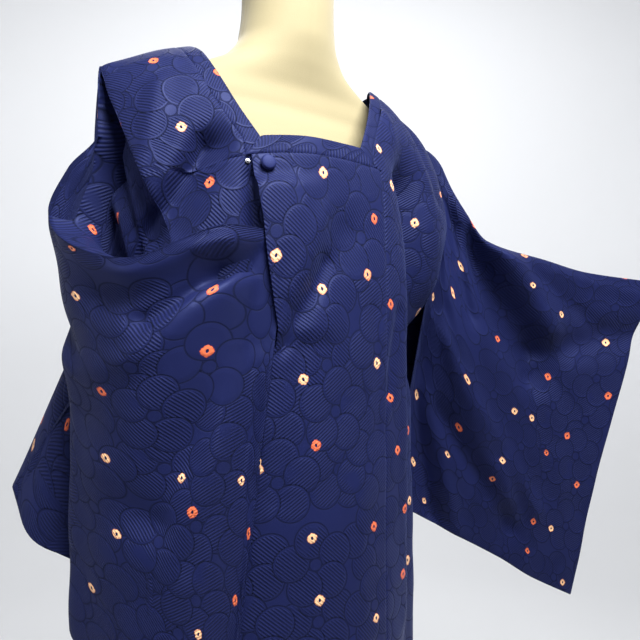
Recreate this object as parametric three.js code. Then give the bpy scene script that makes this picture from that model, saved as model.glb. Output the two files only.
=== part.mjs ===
import * as THREE from 'three';

// Kimono coat with a square neck, closed left over right, on a limbless dress form.
// Millimetres, +Z up, origin on the floor under the middle of the stand.
// The coat faces -Y, and the wearer's right is at -X.

const cloth = {
  wall: 2.0,
  seamGap: 0.3,
};

const cut = {
  sleeveWidth: 380,
  sleeveHeight: 490,
  armhole: 242,
  underarmSlit: 100,
  neckStrip: 17,
  neckHalfRight: 126,
  neckHalfLeft: 118,
  neckFrontDrop: 151,
  neckBackDrop: 62,
  bandSeamLeft: 47,
  bandSeamRight: -84,
  underBandEdge: 45,
};

const button = { diameter: 15, height: 6, along: 178, across: -92 };

const snap = { diameter: 5.2, height: 1.4, along: 173.5, across: -109.5 };

const pole = { radius: 15, collarRadius: 34, collarHeight: 18 };

const base = { radius: 190, height: 26, edge: 8, hubRadius: 30, hubHeight: 52 };

const colour = {
  cloth: 0x252b5e,
  band: 0x262d62,
  form: 0xdccb8e,
  pole: 0xb9bbbd,
  base: 0x8a6a48,
};

// Level sections of the coat over the form, from the front hem (+) over the shoulder (0)
// to the back hem (-). depth is the middle's distance from the ridge, front is -Y.
// right and left are half widths, rise is how far the middle stands above the sides.
const torsoSections = [
  { along: -890, height: 425, depth: 115, right: 170, left: 158, rise: 0 },
  { along: -720, height: 595, depth: 112, right: 168, left: 156, rise: 0 },
  { along: -550, height: 765, depth: 109, right: 166, left: 155, rise: 2 },
  { along: -380, height: 936, depth: 106, right: 170, left: 159, rise: 6 },
  { along: -300, height: 1016, depth: 105, right: 188, left: 176, rise: 12 },
  { along: -230, height: 1085, depth: 102, right: 210, left: 210, rise: 22 },
  { along: -170, height: 1142, depth: 94, right: 217, left: 217, rise: 34 },
  { along: -115, height: 1191, depth: 78, right: 219, left: 219, rise: 46 },
  { along: -70, height: 1231, depth: 56, right: 219, left: 219, rise: 56 },
  { along: -30, height: 1257, depth: 28, right: 218, left: 218, rise: 63 },
  { along: 0, height: 1265, depth: 0, right: 217, left: 217, rise: 65 },
  { along: 30, height: 1256, depth: -30, right: 218, left: 219, rise: 63 },
  { along: 70, height: 1230, depth: -62, right: 219, left: 226, rise: 58 },
  { along: 115, height: 1192, depth: -88, right: 219, left: 232, rise: 51 },
  { along: 165, height: 1147, depth: -107, right: 219, left: 236, rise: 44 },
  { along: 230, height: 1085, depth: -117, right: 214, left: 216, rise: 32 },
  { along: 300, height: 1018, depth: -120, right: 190, left: 178, rise: 18 },
  { along: 380, height: 938, depth: -120, right: 170, left: 158, rise: 8 },
  { along: 550, height: 768, depth: -120, right: 166, left: 155, rise: 2 },
  { along: 720, height: 598, depth: -121, right: 168, left: 156, rise: 0 },
  { along: 893, height: 425, depth: -122, right: 170, left: 158, rise: 0 },
];

// How far round each side the fronts reach at the armhole, as an angle from the middle.
const armholeTurns = [
  { along: -242, right: 64, left: 72 },
  { along: -115, right: 74, left: 78 },
  { along: 0, right: 88, left: 88 },
  { along: 50, right: 80, left: 82 },
  { along: 115, right: 70, left: 78 },
  { along: 165, right: 63, left: 76 },
  { along: 242, right: 54, left: 80 },
];

// Soft troughs and ridges of the worn fronts: across is X, depth is inward.
const torsoFolds = [
  { name: 'leftChest', along0: 165, across0: 112, along1: 320, across1: 142, depth: 42, width: 30 },
  { name: 'rightChest', along0: 150, across0: -140, along1: 215, across1: -178, depth: 16, width: 17 },
  { name: 'leftBelly', along0: 235, across0: -10, along1: 305, across1: -58, depth: 6, width: 22 },
  { name: 'backRight', along0: -420, across0: -150, along1: -260, across1: -120, depth: 12, width: 26 },
  { name: 'backLeft', along0: -400, across0: 150, along1: -240, across1: 118, depth: 14, width: 26 },
];

// The free edge of the left front, from the neck down to the hem.
const overlapEdge = [
  { along: 168, across: -106 },
  { along: 205, across: -104 },
  { along: 225, across: -101 },
  { along: 245, across: -99 },
  { along: 296, across: -90 },
  { along: 318, across: -86 },
  { along: 330, across: -86 },
  { along: 340, across: -92 },
  { along: 352, across: -101 },
  { along: 385, across: -109 },
  { along: 430, across: -114 },
  { along: 500, across: -121 },
  { along: 600, across: -129 },
  { along: 893, across: -137 },
];

// How far the left front stands off under its free edge, over the tucked sleeve end.
const overlapLift = [
  { along: 140, out: 3 },
  { along: 184, out: 3 },
  { along: 200, out: 12.8 },
  { along: 314, out: 10.8 },
  { along: 336, out: 3 },
  { along: 893, out: 3 },
];

// The right sleeve is drawn across the front. Angles go from the wearer's right to the front.
// Radii are of the outer layer. top is the sagging upper edge, hem the lower edge,
// open half the space between the layers, waist how far the middle draws in.
const rightSleeveRows = [
  { along: 0, topAngle: 0, topRadius: 219, topHeight: 1263, hemAngle: -14, hemRadius: 289, hemHeight: 859, open: 30, waist: 0 },
  { along: 52, topAngle: 0, topRadius: 219, topHeight: 1202, hemAngle: -10, hemRadius: 280, hemHeight: 828, open: 28, waist: 6 },
  { along: 87, topAngle: -2, topRadius: 244, topHeight: 1166, hemAngle: -6, hemRadius: 268, hemHeight: 800, open: 26, waist: 14 },
  { along: 128, topAngle: -3, topRadius: 261, topHeight: 1124, hemAngle: -1, hemRadius: 249, hemHeight: 757, open: 24, waist: 12 },
  { along: 160, topAngle: 2, topRadius: 261, topHeight: 1101, hemAngle: 4, hemRadius: 241, hemHeight: 733, open: 22, waist: 8 },
  { along: 240, topAngle: 23, topRadius: 246, topHeight: 1071, hemAngle: 20, hemRadius: 226, hemHeight: 690, open: 20, waist: 0 },
  { along: 318, topAngle: 41, topRadius: 200, topHeight: 1102, hemAngle: 30, hemRadius: 186, hemHeight: 645, open: 9, waist: 0 },
  { along: 352, topAngle: 50, topRadius: 142, topHeight: 1107, hemAngle: 32, hemRadius: 166, hemHeight: 625, open: 3, waist: 0 },
  { along: 380, topAngle: 56, topRadius: 142, topHeight: 1110, hemAngle: 33, hemRadius: 156, hemHeight: 610, open: 2.3, waist: 0 },
];

// The left sleeve is held out to the side and forward.
const leftSleeveRows = [
  { along: 0, topX: 234, topY: -4, topZ: 1263, hemX: 223, hemY: 72, hemZ: 778, open: 14 },
  { along: 60, topX: 246, topY: -16, topZ: 1216, hemX: 262, hemY: 52, hemZ: 754, open: 22 },
  { along: 100, topX: 265, topY: -29, topZ: 1176, hemX: 289, hemY: 39, hemZ: 737, open: 24 },
  { along: 135, topX: 289, topY: -40, topZ: 1143, hemX: 314, hemY: 27, hemZ: 722, open: 22 },
  { along: 225, topX: 374, topY: -80, topZ: 1118, hemX: 374, hemY: -3, hemZ: 686, open: 16 },
  { along: 290, topX: 431, topY: -107, topZ: 1103, hemX: 418, hemY: -25, hemZ: 655, open: 9 },
  { along: 380, topX: 526, topY: -152, topZ: 1092, hemX: 476, hemY: -54, hemZ: 624, open: 7 },
];

// Main folds of the sleeves: down is measured from the upper edge, height is outward.
const rightSleeveFolds = [
  { name: 'underRim', along0: 215, down0: 66, along1: 345, down1: 38, height: -9, width: 20 },
  { name: 'rimRoll', along0: 240, down0: 22, along1: 318, down1: 36, height: 5, width: 18 },
  { name: 'longTrough', along0: 348, down0: 88, along1: 250, down1: 290, height: -14, width: 26 },
  { name: 'sideFold', along0: 105, down0: 300, along1: 112, down1: 425, height: -26, width: 26 },
  { name: 'sideRidge', along0: 160, down0: 180, along1: 160, down1: 520, height: 9, width: 22 },
];

const leftSleeveFolds = [
  { name: 'pullRidge', along0: 138, down0: 4, along1: 245, down1: 120, height: 15, width: 24 },
  { name: 'pullValley', along0: 120, down0: 60, along1: 225, down1: 190, height: -20, width: 30 },
  { name: 'longRidge', along0: 45, down0: 140, along1: 205, down1: 400, height: 12, width: 26 },
  { name: 'lowValley', along0: 20, down0: 300, along1: 90, down1: 480, height: -12, width: 34 },
];

// Ellipses of the dress form, from its lower edge to the top of the neck.
const formRings = [
  { height: 640, half: 122, depth: 84, shift: 0 },
  { height: 700, half: 136, depth: 94, shift: 0 },
  { height: 780, half: 140, depth: 97, shift: 0 },
  { height: 880, half: 130, depth: 92, shift: 0 },
  { height: 980, half: 116, depth: 85, shift: 0 },
  { height: 1060, half: 119, depth: 82, shift: 0 },
  { height: 1120, half: 126, depth: 76, shift: 0 },
  { height: 1170, half: 144, depth: 64, shift: 0 },
  { height: 1210, half: 172, depth: 50, shift: 0 },
  { height: 1240, half: 186, depth: 40, shift: 0 },
  { height: 1262, half: 174, depth: 33, shift: 0 },
  { height: 1280, half: 146, depth: 34, shift: 2 },
  { height: 1298, half: 110, depth: 40, shift: 4 },
  { height: 1318, half: 76, depth: 47, shift: 5 },
  { height: 1345, half: 58, depth: 52, shift: 4 },
  { height: 1385, half: 53, depth: 53, shift: 2 },
  { height: 1428, half: 53, depth: 53, shift: 0 },
];

const leftCuffBow = 11;

const degree = Math.PI / 180;

function mix(low, high, part) {
  return low + (high - low) * part;
}

function smooth(low, high, value) {
  const part = Math.min(1, Math.max(0, (value - low) / (high - low)));
  return part * part * (3 - 2 * part);
}

// Reads one column of a table at any place along it, on a smooth curve through the rows.
function read(rows, place, column, key = 'along') {
  const last = rows.length - 1;
  const value = Math.min(rows[last][key], Math.max(rows[0][key], place));
  let row = 0;
  while (row < last - 1 && value > rows[row + 1][key]) row += 1;
  const rate = (index) => {
    const [first, second] = [rows[index], rows[index + 1]];
    return (second[column] - first[column]) / (second[key] - first[key]);
  };
  const slope = (index) => {
    const before = rate(Math.max(0, index - 1));
    const after = rate(Math.min(last - 1, index));
    return before * after > 0 ? (2 * before * after) / (before + after) : 0;
  };
  const from = rows[row];
  const to = rows[row + 1];
  const span = to[key] - from[key];
  const part = (value - from[key]) / span;
  const square = part * part;
  const cube = square * part;
  return (
    from[column] * (2 * cube - 3 * square + 1) +
    slope(row) * span * (cube - 2 * square + part) +
    to[column] * (3 * square - 2 * cube) +
    slope(row + 1) * span * (cube - square)
  );
}

// Height of a soft fold that runs from one place to another on a flat layout.
function foldAt(fold, firstKeys, secondKeys, first, second, size) {
  const [a0, a1] = [fold[firstKeys[0]], fold[firstKeys[1]]];
  const [b0, b1] = [fold[secondKeys[0]], fold[secondKeys[1]]];
  const runA = a1 - a0;
  const runB = b1 - b0;
  const part = ((first - a0) * runA + (second - b0) * runB) / (runA * runA + runB * runB);
  const near = Math.min(1, Math.max(0, part));
  const away = Math.hypot(first - a0 - runA * near, second - b0 - runB * near);
  return size * Math.exp(-((away / fold.width) ** 2));
}

function torsoHalf(along, turn) {
  return read(torsoSections, along, turn < 0 ? 'right' : 'left');
}

function turnAt(along, across) {
  const half = torsoHalf(along, across);
  return Math.asin(Math.min(1, Math.max(-1, across / half))) / degree;
}

function torsoBare(along, turn) {
  const angle = turn * degree;
  const half = torsoHalf(along, turn);
  const rise = read(torsoSections, along, 'rise') * Math.cos(angle) ** 2;
  return new THREE.Vector3(
    half * Math.sin(angle),
    read(torsoSections, along, 'depth') * Math.cos(angle),
    read(torsoSections, along, 'height') + rise,
  );
}

function torsoFoldDepth(along, turn) {
  const across = torsoHalf(along, turn) * Math.sin(turn * degree);
  const keys = [['along0', 'along1'], ['across0', 'across1']];
  return torsoFolds.reduce(
    (sum, fold) => sum + foldAt(fold, keys[0], keys[1], along, across, fold.depth),
    0,
  );
}

// A point of the coat's outer face, moved out along the face by out.
function torso(along, turn, out = 0) {
  const step = 2;
  const point = torsoBare(along, turn);
  const down = torsoBare(along + step, turn).sub(torsoBare(along - step, turn));
  const round = torsoBare(along, turn + 1).sub(torsoBare(along, turn - 1));
  const normal = round.cross(down).normalize();
  return point.addScaledVector(normal, -(out - torsoFoldDepth(along, turn)));
}

// A closed wall over a grid of points. place gives the outer face, or a point inward of it.
function sheet(name, colourValue, rows, columns, place, flip = false) {
  const layer = (inward) => {
    const points = [];
    for (let row = 0; row <= rows; row += 1) {
      for (let column = 0; column <= columns; column += 1) {
        points.push(place(row / rows, column / columns, inward));
      }
    }
    return points;
  };
  const width = columns + 1;
  const face = layer(0);
  const back = layer(cloth.wall);
  const position = [];
  face.concat(back).forEach((point) => position.push(point.x, point.y, point.z));
  const count = face.length;
  const index = [];
  const quad = (a, b, c, d) => {
    if (flip) index.push(a, c, b, a, d, c);
    else index.push(a, b, c, a, c, d);
  };
  for (let row = 0; row < rows; row += 1) {
    for (let column = 0; column < columns; column += 1) {
      const corner = row * width + column;
      quad(corner, corner + width, corner + width + 1, corner + 1);
      const behind = corner + count;
      quad(behind, behind + 1, behind + width + 1, behind + width);
    }
  }
  for (let column = 0; column < columns; column += 1) {
    const low = column;
    quad(low, low + 1, low + 1 + count, low + count);
    const high = rows * width + column;
    quad(high, high + count, high + 1 + count, high + 1);
  }
  for (let row = 0; row < rows; row += 1) {
    const left = row * width;
    quad(left, left + count, left + width + count, left + width);
    const right = left + columns;
    quad(right, right + width, right + width + count, right + count);
  }
  return solid(name, colourValue, position, index);
}

function solid(name, colourValue, position, index, roughness = 0.62, metalness = 0) {
  const geometry = new THREE.BufferGeometry();
  geometry.setAttribute('position', new THREE.Float32BufferAttribute(position, 3));
  geometry.setIndex(index);
  geometry.computeVertexNormals();
  const material = new THREE.MeshStandardMaterial({ color: colourValue, roughness, metalness });
  const mesh = new THREE.Mesh(geometry, material);
  mesh.name = name;
  return mesh;
}

const gap = cloth.seamGap;
const stripEdge = cut.neckStrip + gap;
const neckFront = cut.neckFrontDrop;
const panelTop = neckFront + stripEdge;
const notch = 0.4;
const neckCornerRight = -94;
const neckCornerLeft = 22;
const neckRound = 2.6;

function neckHalf(side) {
  return side < 0 ? cut.neckHalfRight : cut.neckHalfLeft;
}

// The neck edge on the fronts, as X at a distance below the shoulder.
function neckAcross(side, along) {
  const part = Math.min(1, Math.max(0, along / neckFront));
  if (side < 0) return mix(-cut.neckHalfRight, neckCornerRight, part ** 2.4);
  return mix(cut.neckHalfLeft, neckCornerLeft, part);
}

// The back neck is a flat arc from shoulder to shoulder, wider by edge.
// A step of the arc gives a place on it: how far below the shoulder and how far across.
const neckSteps = 8;

function neckBackPlace(side, step, edge) {
  const angle = (Math.PI * step) / (2 * neckSteps);
  const down = (cut.neckBackDrop + edge) * Math.sin(angle) ** (2 / neckRound) + gap / 2;
  const across = (neckHalf(side) + edge) * Math.cos(angle) ** (2 / neckRound);
  return { along: -down, across: side * across };
}

const neckBackLow = -(cut.neckBackDrop + stripEdge + gap / 2);

function bodyInner(side, along) {
  if (along < neckBackLow) return (side * gap) / 2;
  if (along < 0) {
    const part = Math.min(1, Math.max(0, (-along - gap / 2) / (cut.neckBackDrop + stripEdge)));
    const arc = (neckHalf(side) + stripEdge) * (1 - part ** neckRound) ** (1 / neckRound);
    return side * Math.max(gap / 2, arc);
  }
  if (along <= panelTop) return neckAcross(side, along) + side * stripEdge;
  return side < 0 ? cut.bandSeamRight : cut.bandSeamLeft;
}

function bodyOuterTurn(side, along) {
  const key = side < 0 ? 'right' : 'left';
  const reach = Math.abs(along);
  if (reach <= cut.armhole) return side * read(armholeTurns, along, key);
  const edge = read(armholeTurns, Math.sign(along) * cut.armhole, key);
  const closing = smooth(cut.armhole, cut.armhole + cut.underarmSlit, reach);
  return side * mix(edge, 89.9, closing);
}

function evenly(from, to, steps) {
  return Array.from({ length: steps }, (_, step) => mix(from, to, step / steps));
}

// The rows of the body panels. Rows beside the neck band are those of its strips.
const neckRows = 9;
const backNeckRows = evenly(neckSteps, 0, neckSteps).map((step) => neckBackPlace(1, step, stripEdge).along);

const bodyAlongs = [
  ...evenly(-890, -430, 7),
  ...evenly(-430, -cut.armhole, 5),
  ...evenly(-cut.armhole, neckBackLow, 5),
  ...backNeckRows,
  ...evenly(gap / 2, panelTop, neckRows),
  panelTop,
  panelTop + notch,
  ...evenly(205, cut.armhole, 2),
  ...evenly(cut.armhole, cut.armhole + cut.underarmSlit, 4),
  ...evenly(cut.armhole + cut.underarmSlit, 893, 9),
  893,
];

function bodyPanel(name, side) {
  const rows = bodyAlongs.length - 1;
  const place = (v, u, inward) => {
    const along = bodyAlongs[Math.round(v * rows)];
    const inner = turnAt(along, bodyInner(side, along));
    return torso(along, mix(inner, bodyOuterTurn(side, along), u), -inward);
  };
  return sheet(name, colour.cloth, rows, 8, place, side < 0);
}

// The right front band sinks under the left front.
const underSink = 8;

function frontBandRight() {
  const place = (v, u, inward) => {
    const along = mix(panelTop + notch, 893, v);
    const across = mix(cut.bandSeamRight + gap, cut.underBandEdge, u);
    const sink = underSink * smooth(cut.bandSeamRight, cut.bandSeamRight + 44, across);
    return torso(along, turnAt(along, across), -sink - inward);
  };
  return sheet('front_band_right', colour.band, 22, 5, place);
}

// How far the left front's outer face stands off at a place, from its seam to its free edge.
const overlapStep = 3;

function overlapOut(along, across) {
  const edge = read(overlapEdge, along, 'across');
  const lift = read(overlapLift, along, 'out') - overlapStep;
  return overlapStep * smooth(0, -55, across) + lift * smooth(edge + 84, edge + 24, across);
}

const overlapAlongs = [
  panelTop + notch,
  ...evenly(182, 206, 4),
  ...evenly(206, 311, 7),
  ...evenly(311, 352, 7),
  ...evenly(352, 893, 14),
  893,
];

function frontBandLeft() {
  const rows = overlapAlongs.length - 1;
  const place = (v, u, inward) => {
    const along = overlapAlongs[Math.round(v * rows)];
    const free = turnAt(along, read(overlapEdge, along, 'across'));
    const turn = mix(free, turnAt(along, cut.bandSeamLeft - gap), u);
    const across = torsoHalf(along, turn) * Math.sin(turn * degree);
    return torso(along, turn, overlapOut(along, across) - inward);
  };
  return sheet('front_band_left', colour.band, rows, 9, place);
}

// A strip of the neck band beside the neck edge, on one front.
function neckSide(name, side) {
  const end = (w) => neckFront + cut.neckStrip * w - gap;
  const place = (v, w, inward) => {
    const along = mix(gap / 2, end(w), v);
    const across = neckAcross(side, along) + side * cut.neckStrip * w;
    return torso(along, turnAt(along, across), -inward);
  };
  return sheet(name, colour.band, neckRows, 1, place, side < 0);
}

function neckBack() {
  const place = (v, w, inward) => {
    const step = Math.round(v * 2 * neckSteps) - neckSteps;
    const side = step < 0 ? -1 : 1;
    const spot = neckBackPlace(side, neckSteps - Math.abs(step), cut.neckStrip * w);
    return torso(spot.along, turnAt(spot.along, spot.across), -inward);
  };
  return sheet('neck_band_back', colour.band, 2 * neckSteps, 1, place);
}

// A level strip of the neck band along the lower neck edge, with mitred ends.
function neckLevel(name, from, to, outAt) {
  const place = (v, w, inward) => {
    const along = neckFront + cut.neckStrip * w;
    const across = mix(from(w), to(w), v);
    return torso(along, turnAt(along, across), outAt(along, across) - inward);
  };
  return sheet(name, colour.band, 6, 1, place, true);
}

function neckOver() {
  const mitre = (w) => neckAcross(1, neckFront) + cut.neckStrip * w - gap;
  const rightMitre = (w) => neckAcross(-1, neckFront) - cut.neckStrip * w;
  return neckLevel('neck_band_front_left', rightMitre, mitre, overlapOut);
}

function neckUnder() {
  const mitre = (w) => neckAcross(-1, neckFront) - cut.neckStrip * w + gap;
  const hiddenEnd = () => -60;
  return neckLevel('neck_band_front_right', mitre, hiddenEnd, () => 0);
}

// The edge of a sleeve that is sewn to the armhole, then hangs free to the lower corner.
const armholeGap = 0.5;

function sleeveEdge(side, down, corner, inward) {
  const reach = Math.abs(down);
  const along = -Math.sign(down) * Math.min(reach, cut.armhole);
  const turn = bodyOuterTurn(side, along);
  const point = torso(along, turn, -inward);
  const sideways = torsoBare(along, turn + side).sub(torsoBare(along, turn - side)).normalize();
  point.addScaledVector(sideways, armholeGap);
  const part = Math.max(0, (reach - cut.armhole) / (cut.sleeveHeight - cut.armhole));
  return point.lerp(corner, part);
}

function sleeveFoldHeight(folds, along, down) {
  return folds.reduce(
    (sum, fold) =>
      sum + foldAt(fold, ['along0', 'along1'], ['down0', 'down1'], along, down, fold.height),
    0,
  );
}

// Half the distance between a sleeve's two layers: round at the top, closed at the hem.
function sleeveOpen(open, reach) {
  const closed = cloth.wall + gap;
  const rounding = Math.sqrt(1 - (1 - Math.min(1, reach / 45)) ** 2);
  const narrowing = smooth(cut.sleeveHeight, 160, reach);
  return rounding * mix(closed, Math.max(open, closed), narrowing);
}

// How far the sleeve has taken its own shape at a distance from the armhole.
function sleeveOwn(along, reach, most) {
  const shoulder = Math.min(1, reach / 150);
  const spread = 26 + most * shoulder * (1 - 0.7 * smooth(230, cut.sleeveHeight, reach));
  return Math.sin((Math.PI / 2) * Math.min(1, along / spread));
}

function sleeveFall(reach) {
  const part = reach / cut.sleeveHeight;
  return (part * part * 1.05) / (part + 0.05);
}

// The body's radius at an angle and height, for what is wrapped around it.
function bodyRadius(angle, height) {
  let low = 40;
  let high = 893;
  let radius = 0;
  for (let step = 0; step < 24; step += 1) {
    const along = (low + high) / 2;
    const depth = -read(torsoSections, along, 'depth');
    radius = 1 / Math.hypot(Math.cos(angle) / read(torsoSections, along, 'right'), Math.sin(angle) / depth);
    const rise = read(torsoSections, along, 'rise') * ((radius * Math.sin(angle)) / depth) ** 2;
    if (read(torsoSections, along, 'height') + rise > height) low = along;
    else high = along;
  }
  return radius;
}

// How far the sleeve's middle stands off the fronts: under the overlap above, over it below.
function sleeveStandOff(height) {
  return mix(6.6, 3.6, smooth(982, 1004, height));
}

function rightSleevePoint(along, down, inward = 0) {
  const reach = Math.abs(down);
  const fall = sleeveFall(reach);
  const get = (column) => read(rightSleeveRows, along, column);
  const angle = mix(get('topAngle'), get('hemAngle'), fall) * degree;
  const height = mix(get('topHeight'), get('hemHeight'), fall);
  const open = sleeveOpen(get('open'), reach);
  const outer = down > 0;
  let radius = mix(get('topRadius'), get('hemRadius'), fall);
  radius -= get('waist') * Math.sin(Math.PI * fall);
  const folds = sleeveFoldHeight(rightSleeveFolds, along, reach) * smooth(4, 40, reach);
  radius += folds * (outer ? 1 : 0.8);
  const clear = bodyRadius(angle, height) + sleeveStandOff(height);
  const least = mix(0, clear, smooth(12, 34, angle / degree));
  radius = outer ? Math.max(radius, least + open) : Math.max(radius - 2 * open, least - open);
  const wall = new THREE.Vector3(
    -radius * Math.cos(angle),
    -radius * Math.sin(angle),
    height,
  );
  const corner = new THREE.Vector3(-280, 71 + (outer ? 2.4 : -2.4), 859);
  return sleeveEdge(-1, down, corner, inward).lerp(wall, sleeveOwn(along, reach, 190));
}

function leftSleevePoint(along, down, inward = 0) {
  const reach = Math.abs(down);
  const fall = sleeveFall(reach);
  const get = (column) => read(leftSleeveRows, along, column);
  const middle = new THREE.Vector3(
    mix(get('topX'), get('hemX'), fall),
    mix(get('topY'), get('hemY'), fall),
    mix(get('topZ'), get('hemZ'), fall),
  );
  const front = new THREE.Vector3(-0.437, -0.9, 0);
  const bow = leftCuffBow * Math.sin(Math.PI * fall) * smooth(200, cut.sleeveWidth, along);
  middle.add(new THREE.Vector3(-bow * 0.9, bow * 0.437, 0));
  const open = sleeveOpen(get('open'), reach);
  const folds = sleeveFoldHeight(leftSleeveFolds, along, reach) * smooth(2, 30, reach);
  const isFront = down < 0;
  const wall = middle.addScaledVector(front, folds + (isFront ? open : -open));
  const corner = new THREE.Vector3(223, 72 + (isFront ? -2.4 : 2.4), 778);
  return sleeveEdge(1, down, corner, inward).lerp(wall, sleeveOwn(along, reach, 140));
}

// The rows of a sleeve, from its back hem over the top to its front hem. Between the ends
// of the armhole they are those of the body panel.
const seamDowns = bodyAlongs.filter((along) => Math.abs(along) <= cut.armhole && along !== panelTop + notch);
const sleeveDowns = [
  ...evenly(-cut.sleeveHeight, -cut.armhole, 7),
  ...seamDowns.map((along) => -along).reverse(),
  ...evenly(cut.armhole, cut.sleeveHeight, 7).slice(1),
  cut.sleeveHeight,
];

// A sleeve's wall stands square to its face, and at the armhole to the body's face.
function sleeve(name, pointAt, flip) {
  const rows = sleeveDowns.length - 1;
  const step = 5;
  const place = (v, u, inward) => {
    const down = sleeveDowns[Math.round(v * rows)];
    const along = cut.sleeveWidth * u;
    const point = pointAt(along, down);
    if (inward === 0) return point;
    const lower = Math.min(cut.sleeveHeight, down + step);
    const upper = Math.max(-cut.sleeveHeight, down - step);
    const downward = pointAt(along, lower).sub(pointAt(along, upper));
    const farther = Math.min(cut.sleeveWidth, along + step);
    const nearer = Math.max(0, along - step);
    const sideways = pointAt(farther, down).sub(pointAt(nearer, down));
    const normal = downward.cross(sideways).normalize().multiplyScalar(flip ? 1 : -1);
    const own = point.clone().addScaledVector(normal, inward);
    const sewn = smooth(cut.armhole + 30, cut.armhole, Math.abs(down)) * smooth(20, 0, along);
    return own.lerp(pointAt(along, down, inward), sewn);
  };
  return sheet(name, colour.cloth, rows, 13, place, flip);
}

// A closed stack of ellipses.
function stack(name, colourValue, rings, sides, roughness) {
  const position = [];
  const index = [];
  rings.forEach((ring) => {
    for (let side = 0; side < sides; side += 1) {
      const angle = (2 * Math.PI * side) / sides;
      position.push(ring.half * Math.cos(angle), ring.shift + ring.depth * Math.sin(angle), ring.height);
    }
  });
  const top = rings.length - 1;
  position.push(0, rings[0].shift, rings[0].height, 0, rings[top].shift, rings[top].height + 12);
  const lowest = rings.length * sides;
  for (let side = 0; side < sides; side += 1) {
    const next = (side + 1) % sides;
    index.push(lowest, next, side);
    index.push(lowest + 1, top * sides + side, top * sides + next);
    for (let ring = 0; ring < top; ring += 1) {
      const low = ring * sides;
      const high = low + sides;
      index.push(low + side, low + next, high + next, low + side, high + next, high + side);
    }
  }
  return solid(name, colourValue, position, index, roughness);
}

function turned(name, colourValue, profile, sides, roughness, metalness) {
  const points = profile.map(([radius, height]) => new THREE.Vector2(radius, height));
  const geometry = new THREE.LatheGeometry(points, sides);
  geometry.rotateX(Math.PI / 2);
  const material = new THREE.MeshStandardMaterial({ color: colourValue, roughness, metalness });
  const mesh = new THREE.Mesh(geometry, material);
  mesh.name = name;
  return mesh;
}

// A small round piece that lies on the coat's outer face.
function stud(name, colourValue, size, profile, out, metalness) {
  const turn = turnAt(size.along, size.across);
  const place = torso(size.along, turn, out);
  const normal = torso(size.along, turn, out + 1).sub(place).normalize();
  const mesh = turned(name, colourValue, profile, 20, 0.5, metalness);
  mesh.position.copy(place);
  mesh.quaternion.setFromUnitVectors(new THREE.Vector3(0, 0, 1), normal);
  return mesh;
}

function coveredButton() {
  const half = button.diameter / 2;
  const profile = [
    [0, 0],
    [half * 0.72, 0],
    [half, button.height * 0.32],
    [half * 0.94, button.height * 0.62],
    [half * 0.7, button.height * 0.88],
    [half * 0.35, button.height * 0.98],
    [0, button.height],
  ];
  const out = overlapOut(button.along, button.across) + 0.8;
  return stud('button', colour.band, button, profile, out, 0);
}

function pressStud() {
  const half = snap.diameter / 2;
  const profile = [
    [0, 0],
    [half, 0],
    [half, snap.height * 0.5],
    [half * 0.45, snap.height],
    [0, snap.height],
  ];
  return stud('snap', colour.pole, snap, profile, 0.4, 0.8);
}

function stand() {
  const seat = formRings[0].height - gap;
  const poleProfile = [
    [0, base.hubHeight + gap],
    [pole.radius, base.hubHeight + gap],
    [pole.radius, seat - pole.collarHeight],
    [pole.collarRadius, seat - pole.collarHeight],
    [pole.collarRadius, seat],
    [0, seat],
  ];
  const baseProfile = [
    [0, 0],
    [base.radius - base.edge, 0],
    [base.radius, base.edge],
    [base.radius, base.height - base.edge],
    [base.radius - base.edge, base.height],
    [base.hubRadius + base.edge, base.height + base.edge],
    [base.hubRadius, base.hubHeight],
    [0, base.hubHeight],
  ];
  return [
    turned('stand_pole', colour.pole, poleProfile, 24, 0.35, 0.8),
    turned('stand_base', colour.base, baseProfile, 48, 0.5, 0),
  ];
}

const coat = new THREE.Group();
coat.add(bodyPanel('body_right', -1), bodyPanel('body_left', 1));
coat.add(frontBandRight(), frontBandLeft());
coat.add(neckSide('neck_band_right', -1), neckSide('neck_band_left', 1));
coat.add(neckBack(), neckOver(), neckUnder());
coat.add(sleeve('sleeve_right', rightSleevePoint, false));
coat.add(sleeve('sleeve_left', leftSleevePoint, true));
coat.add(coveredButton(), pressStud());
coat.add(stack('form_torso', colour.form, formRings, 28, 0.8));
coat.add(...stand());

export default coat;
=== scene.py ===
"""A kimono coat with a square neck, worn by a limbless dress form on a round stand."""

import math

import bpy
import numpy as np
from bpy.props import FloatProperty, FloatVectorProperty, PointerProperty
from mathutils import Matrix, Vector


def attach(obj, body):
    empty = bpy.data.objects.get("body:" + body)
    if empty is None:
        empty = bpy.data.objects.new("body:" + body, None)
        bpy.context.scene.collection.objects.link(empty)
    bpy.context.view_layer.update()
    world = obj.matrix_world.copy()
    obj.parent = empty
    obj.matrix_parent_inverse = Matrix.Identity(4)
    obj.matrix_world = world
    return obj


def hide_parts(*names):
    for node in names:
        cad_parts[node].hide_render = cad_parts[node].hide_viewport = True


bl_info = {
    "name": "Kimono Coat",
    "version": (1, 0, 0),
    "blender": (4, 5, 0),
    "location": "View3D > Sidebar > Coat",
    "description": "Builds a kimono coat of figured silk on a dress form",
    "category": "Object",
}

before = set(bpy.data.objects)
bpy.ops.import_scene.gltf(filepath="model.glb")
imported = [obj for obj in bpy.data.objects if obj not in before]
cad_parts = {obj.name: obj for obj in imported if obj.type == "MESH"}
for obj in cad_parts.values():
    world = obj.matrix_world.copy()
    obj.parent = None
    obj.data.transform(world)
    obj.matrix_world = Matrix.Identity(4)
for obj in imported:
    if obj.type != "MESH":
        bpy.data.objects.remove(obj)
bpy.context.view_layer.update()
BODY = "root"

# Sizes below are in millimetres, as in the part. Blender's are in metres.
MM = 0.001
DEGREE = math.pi / 180
# Pieces that are sewn together lap by this much, as a negative gap.
GAP = -0.3


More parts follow.
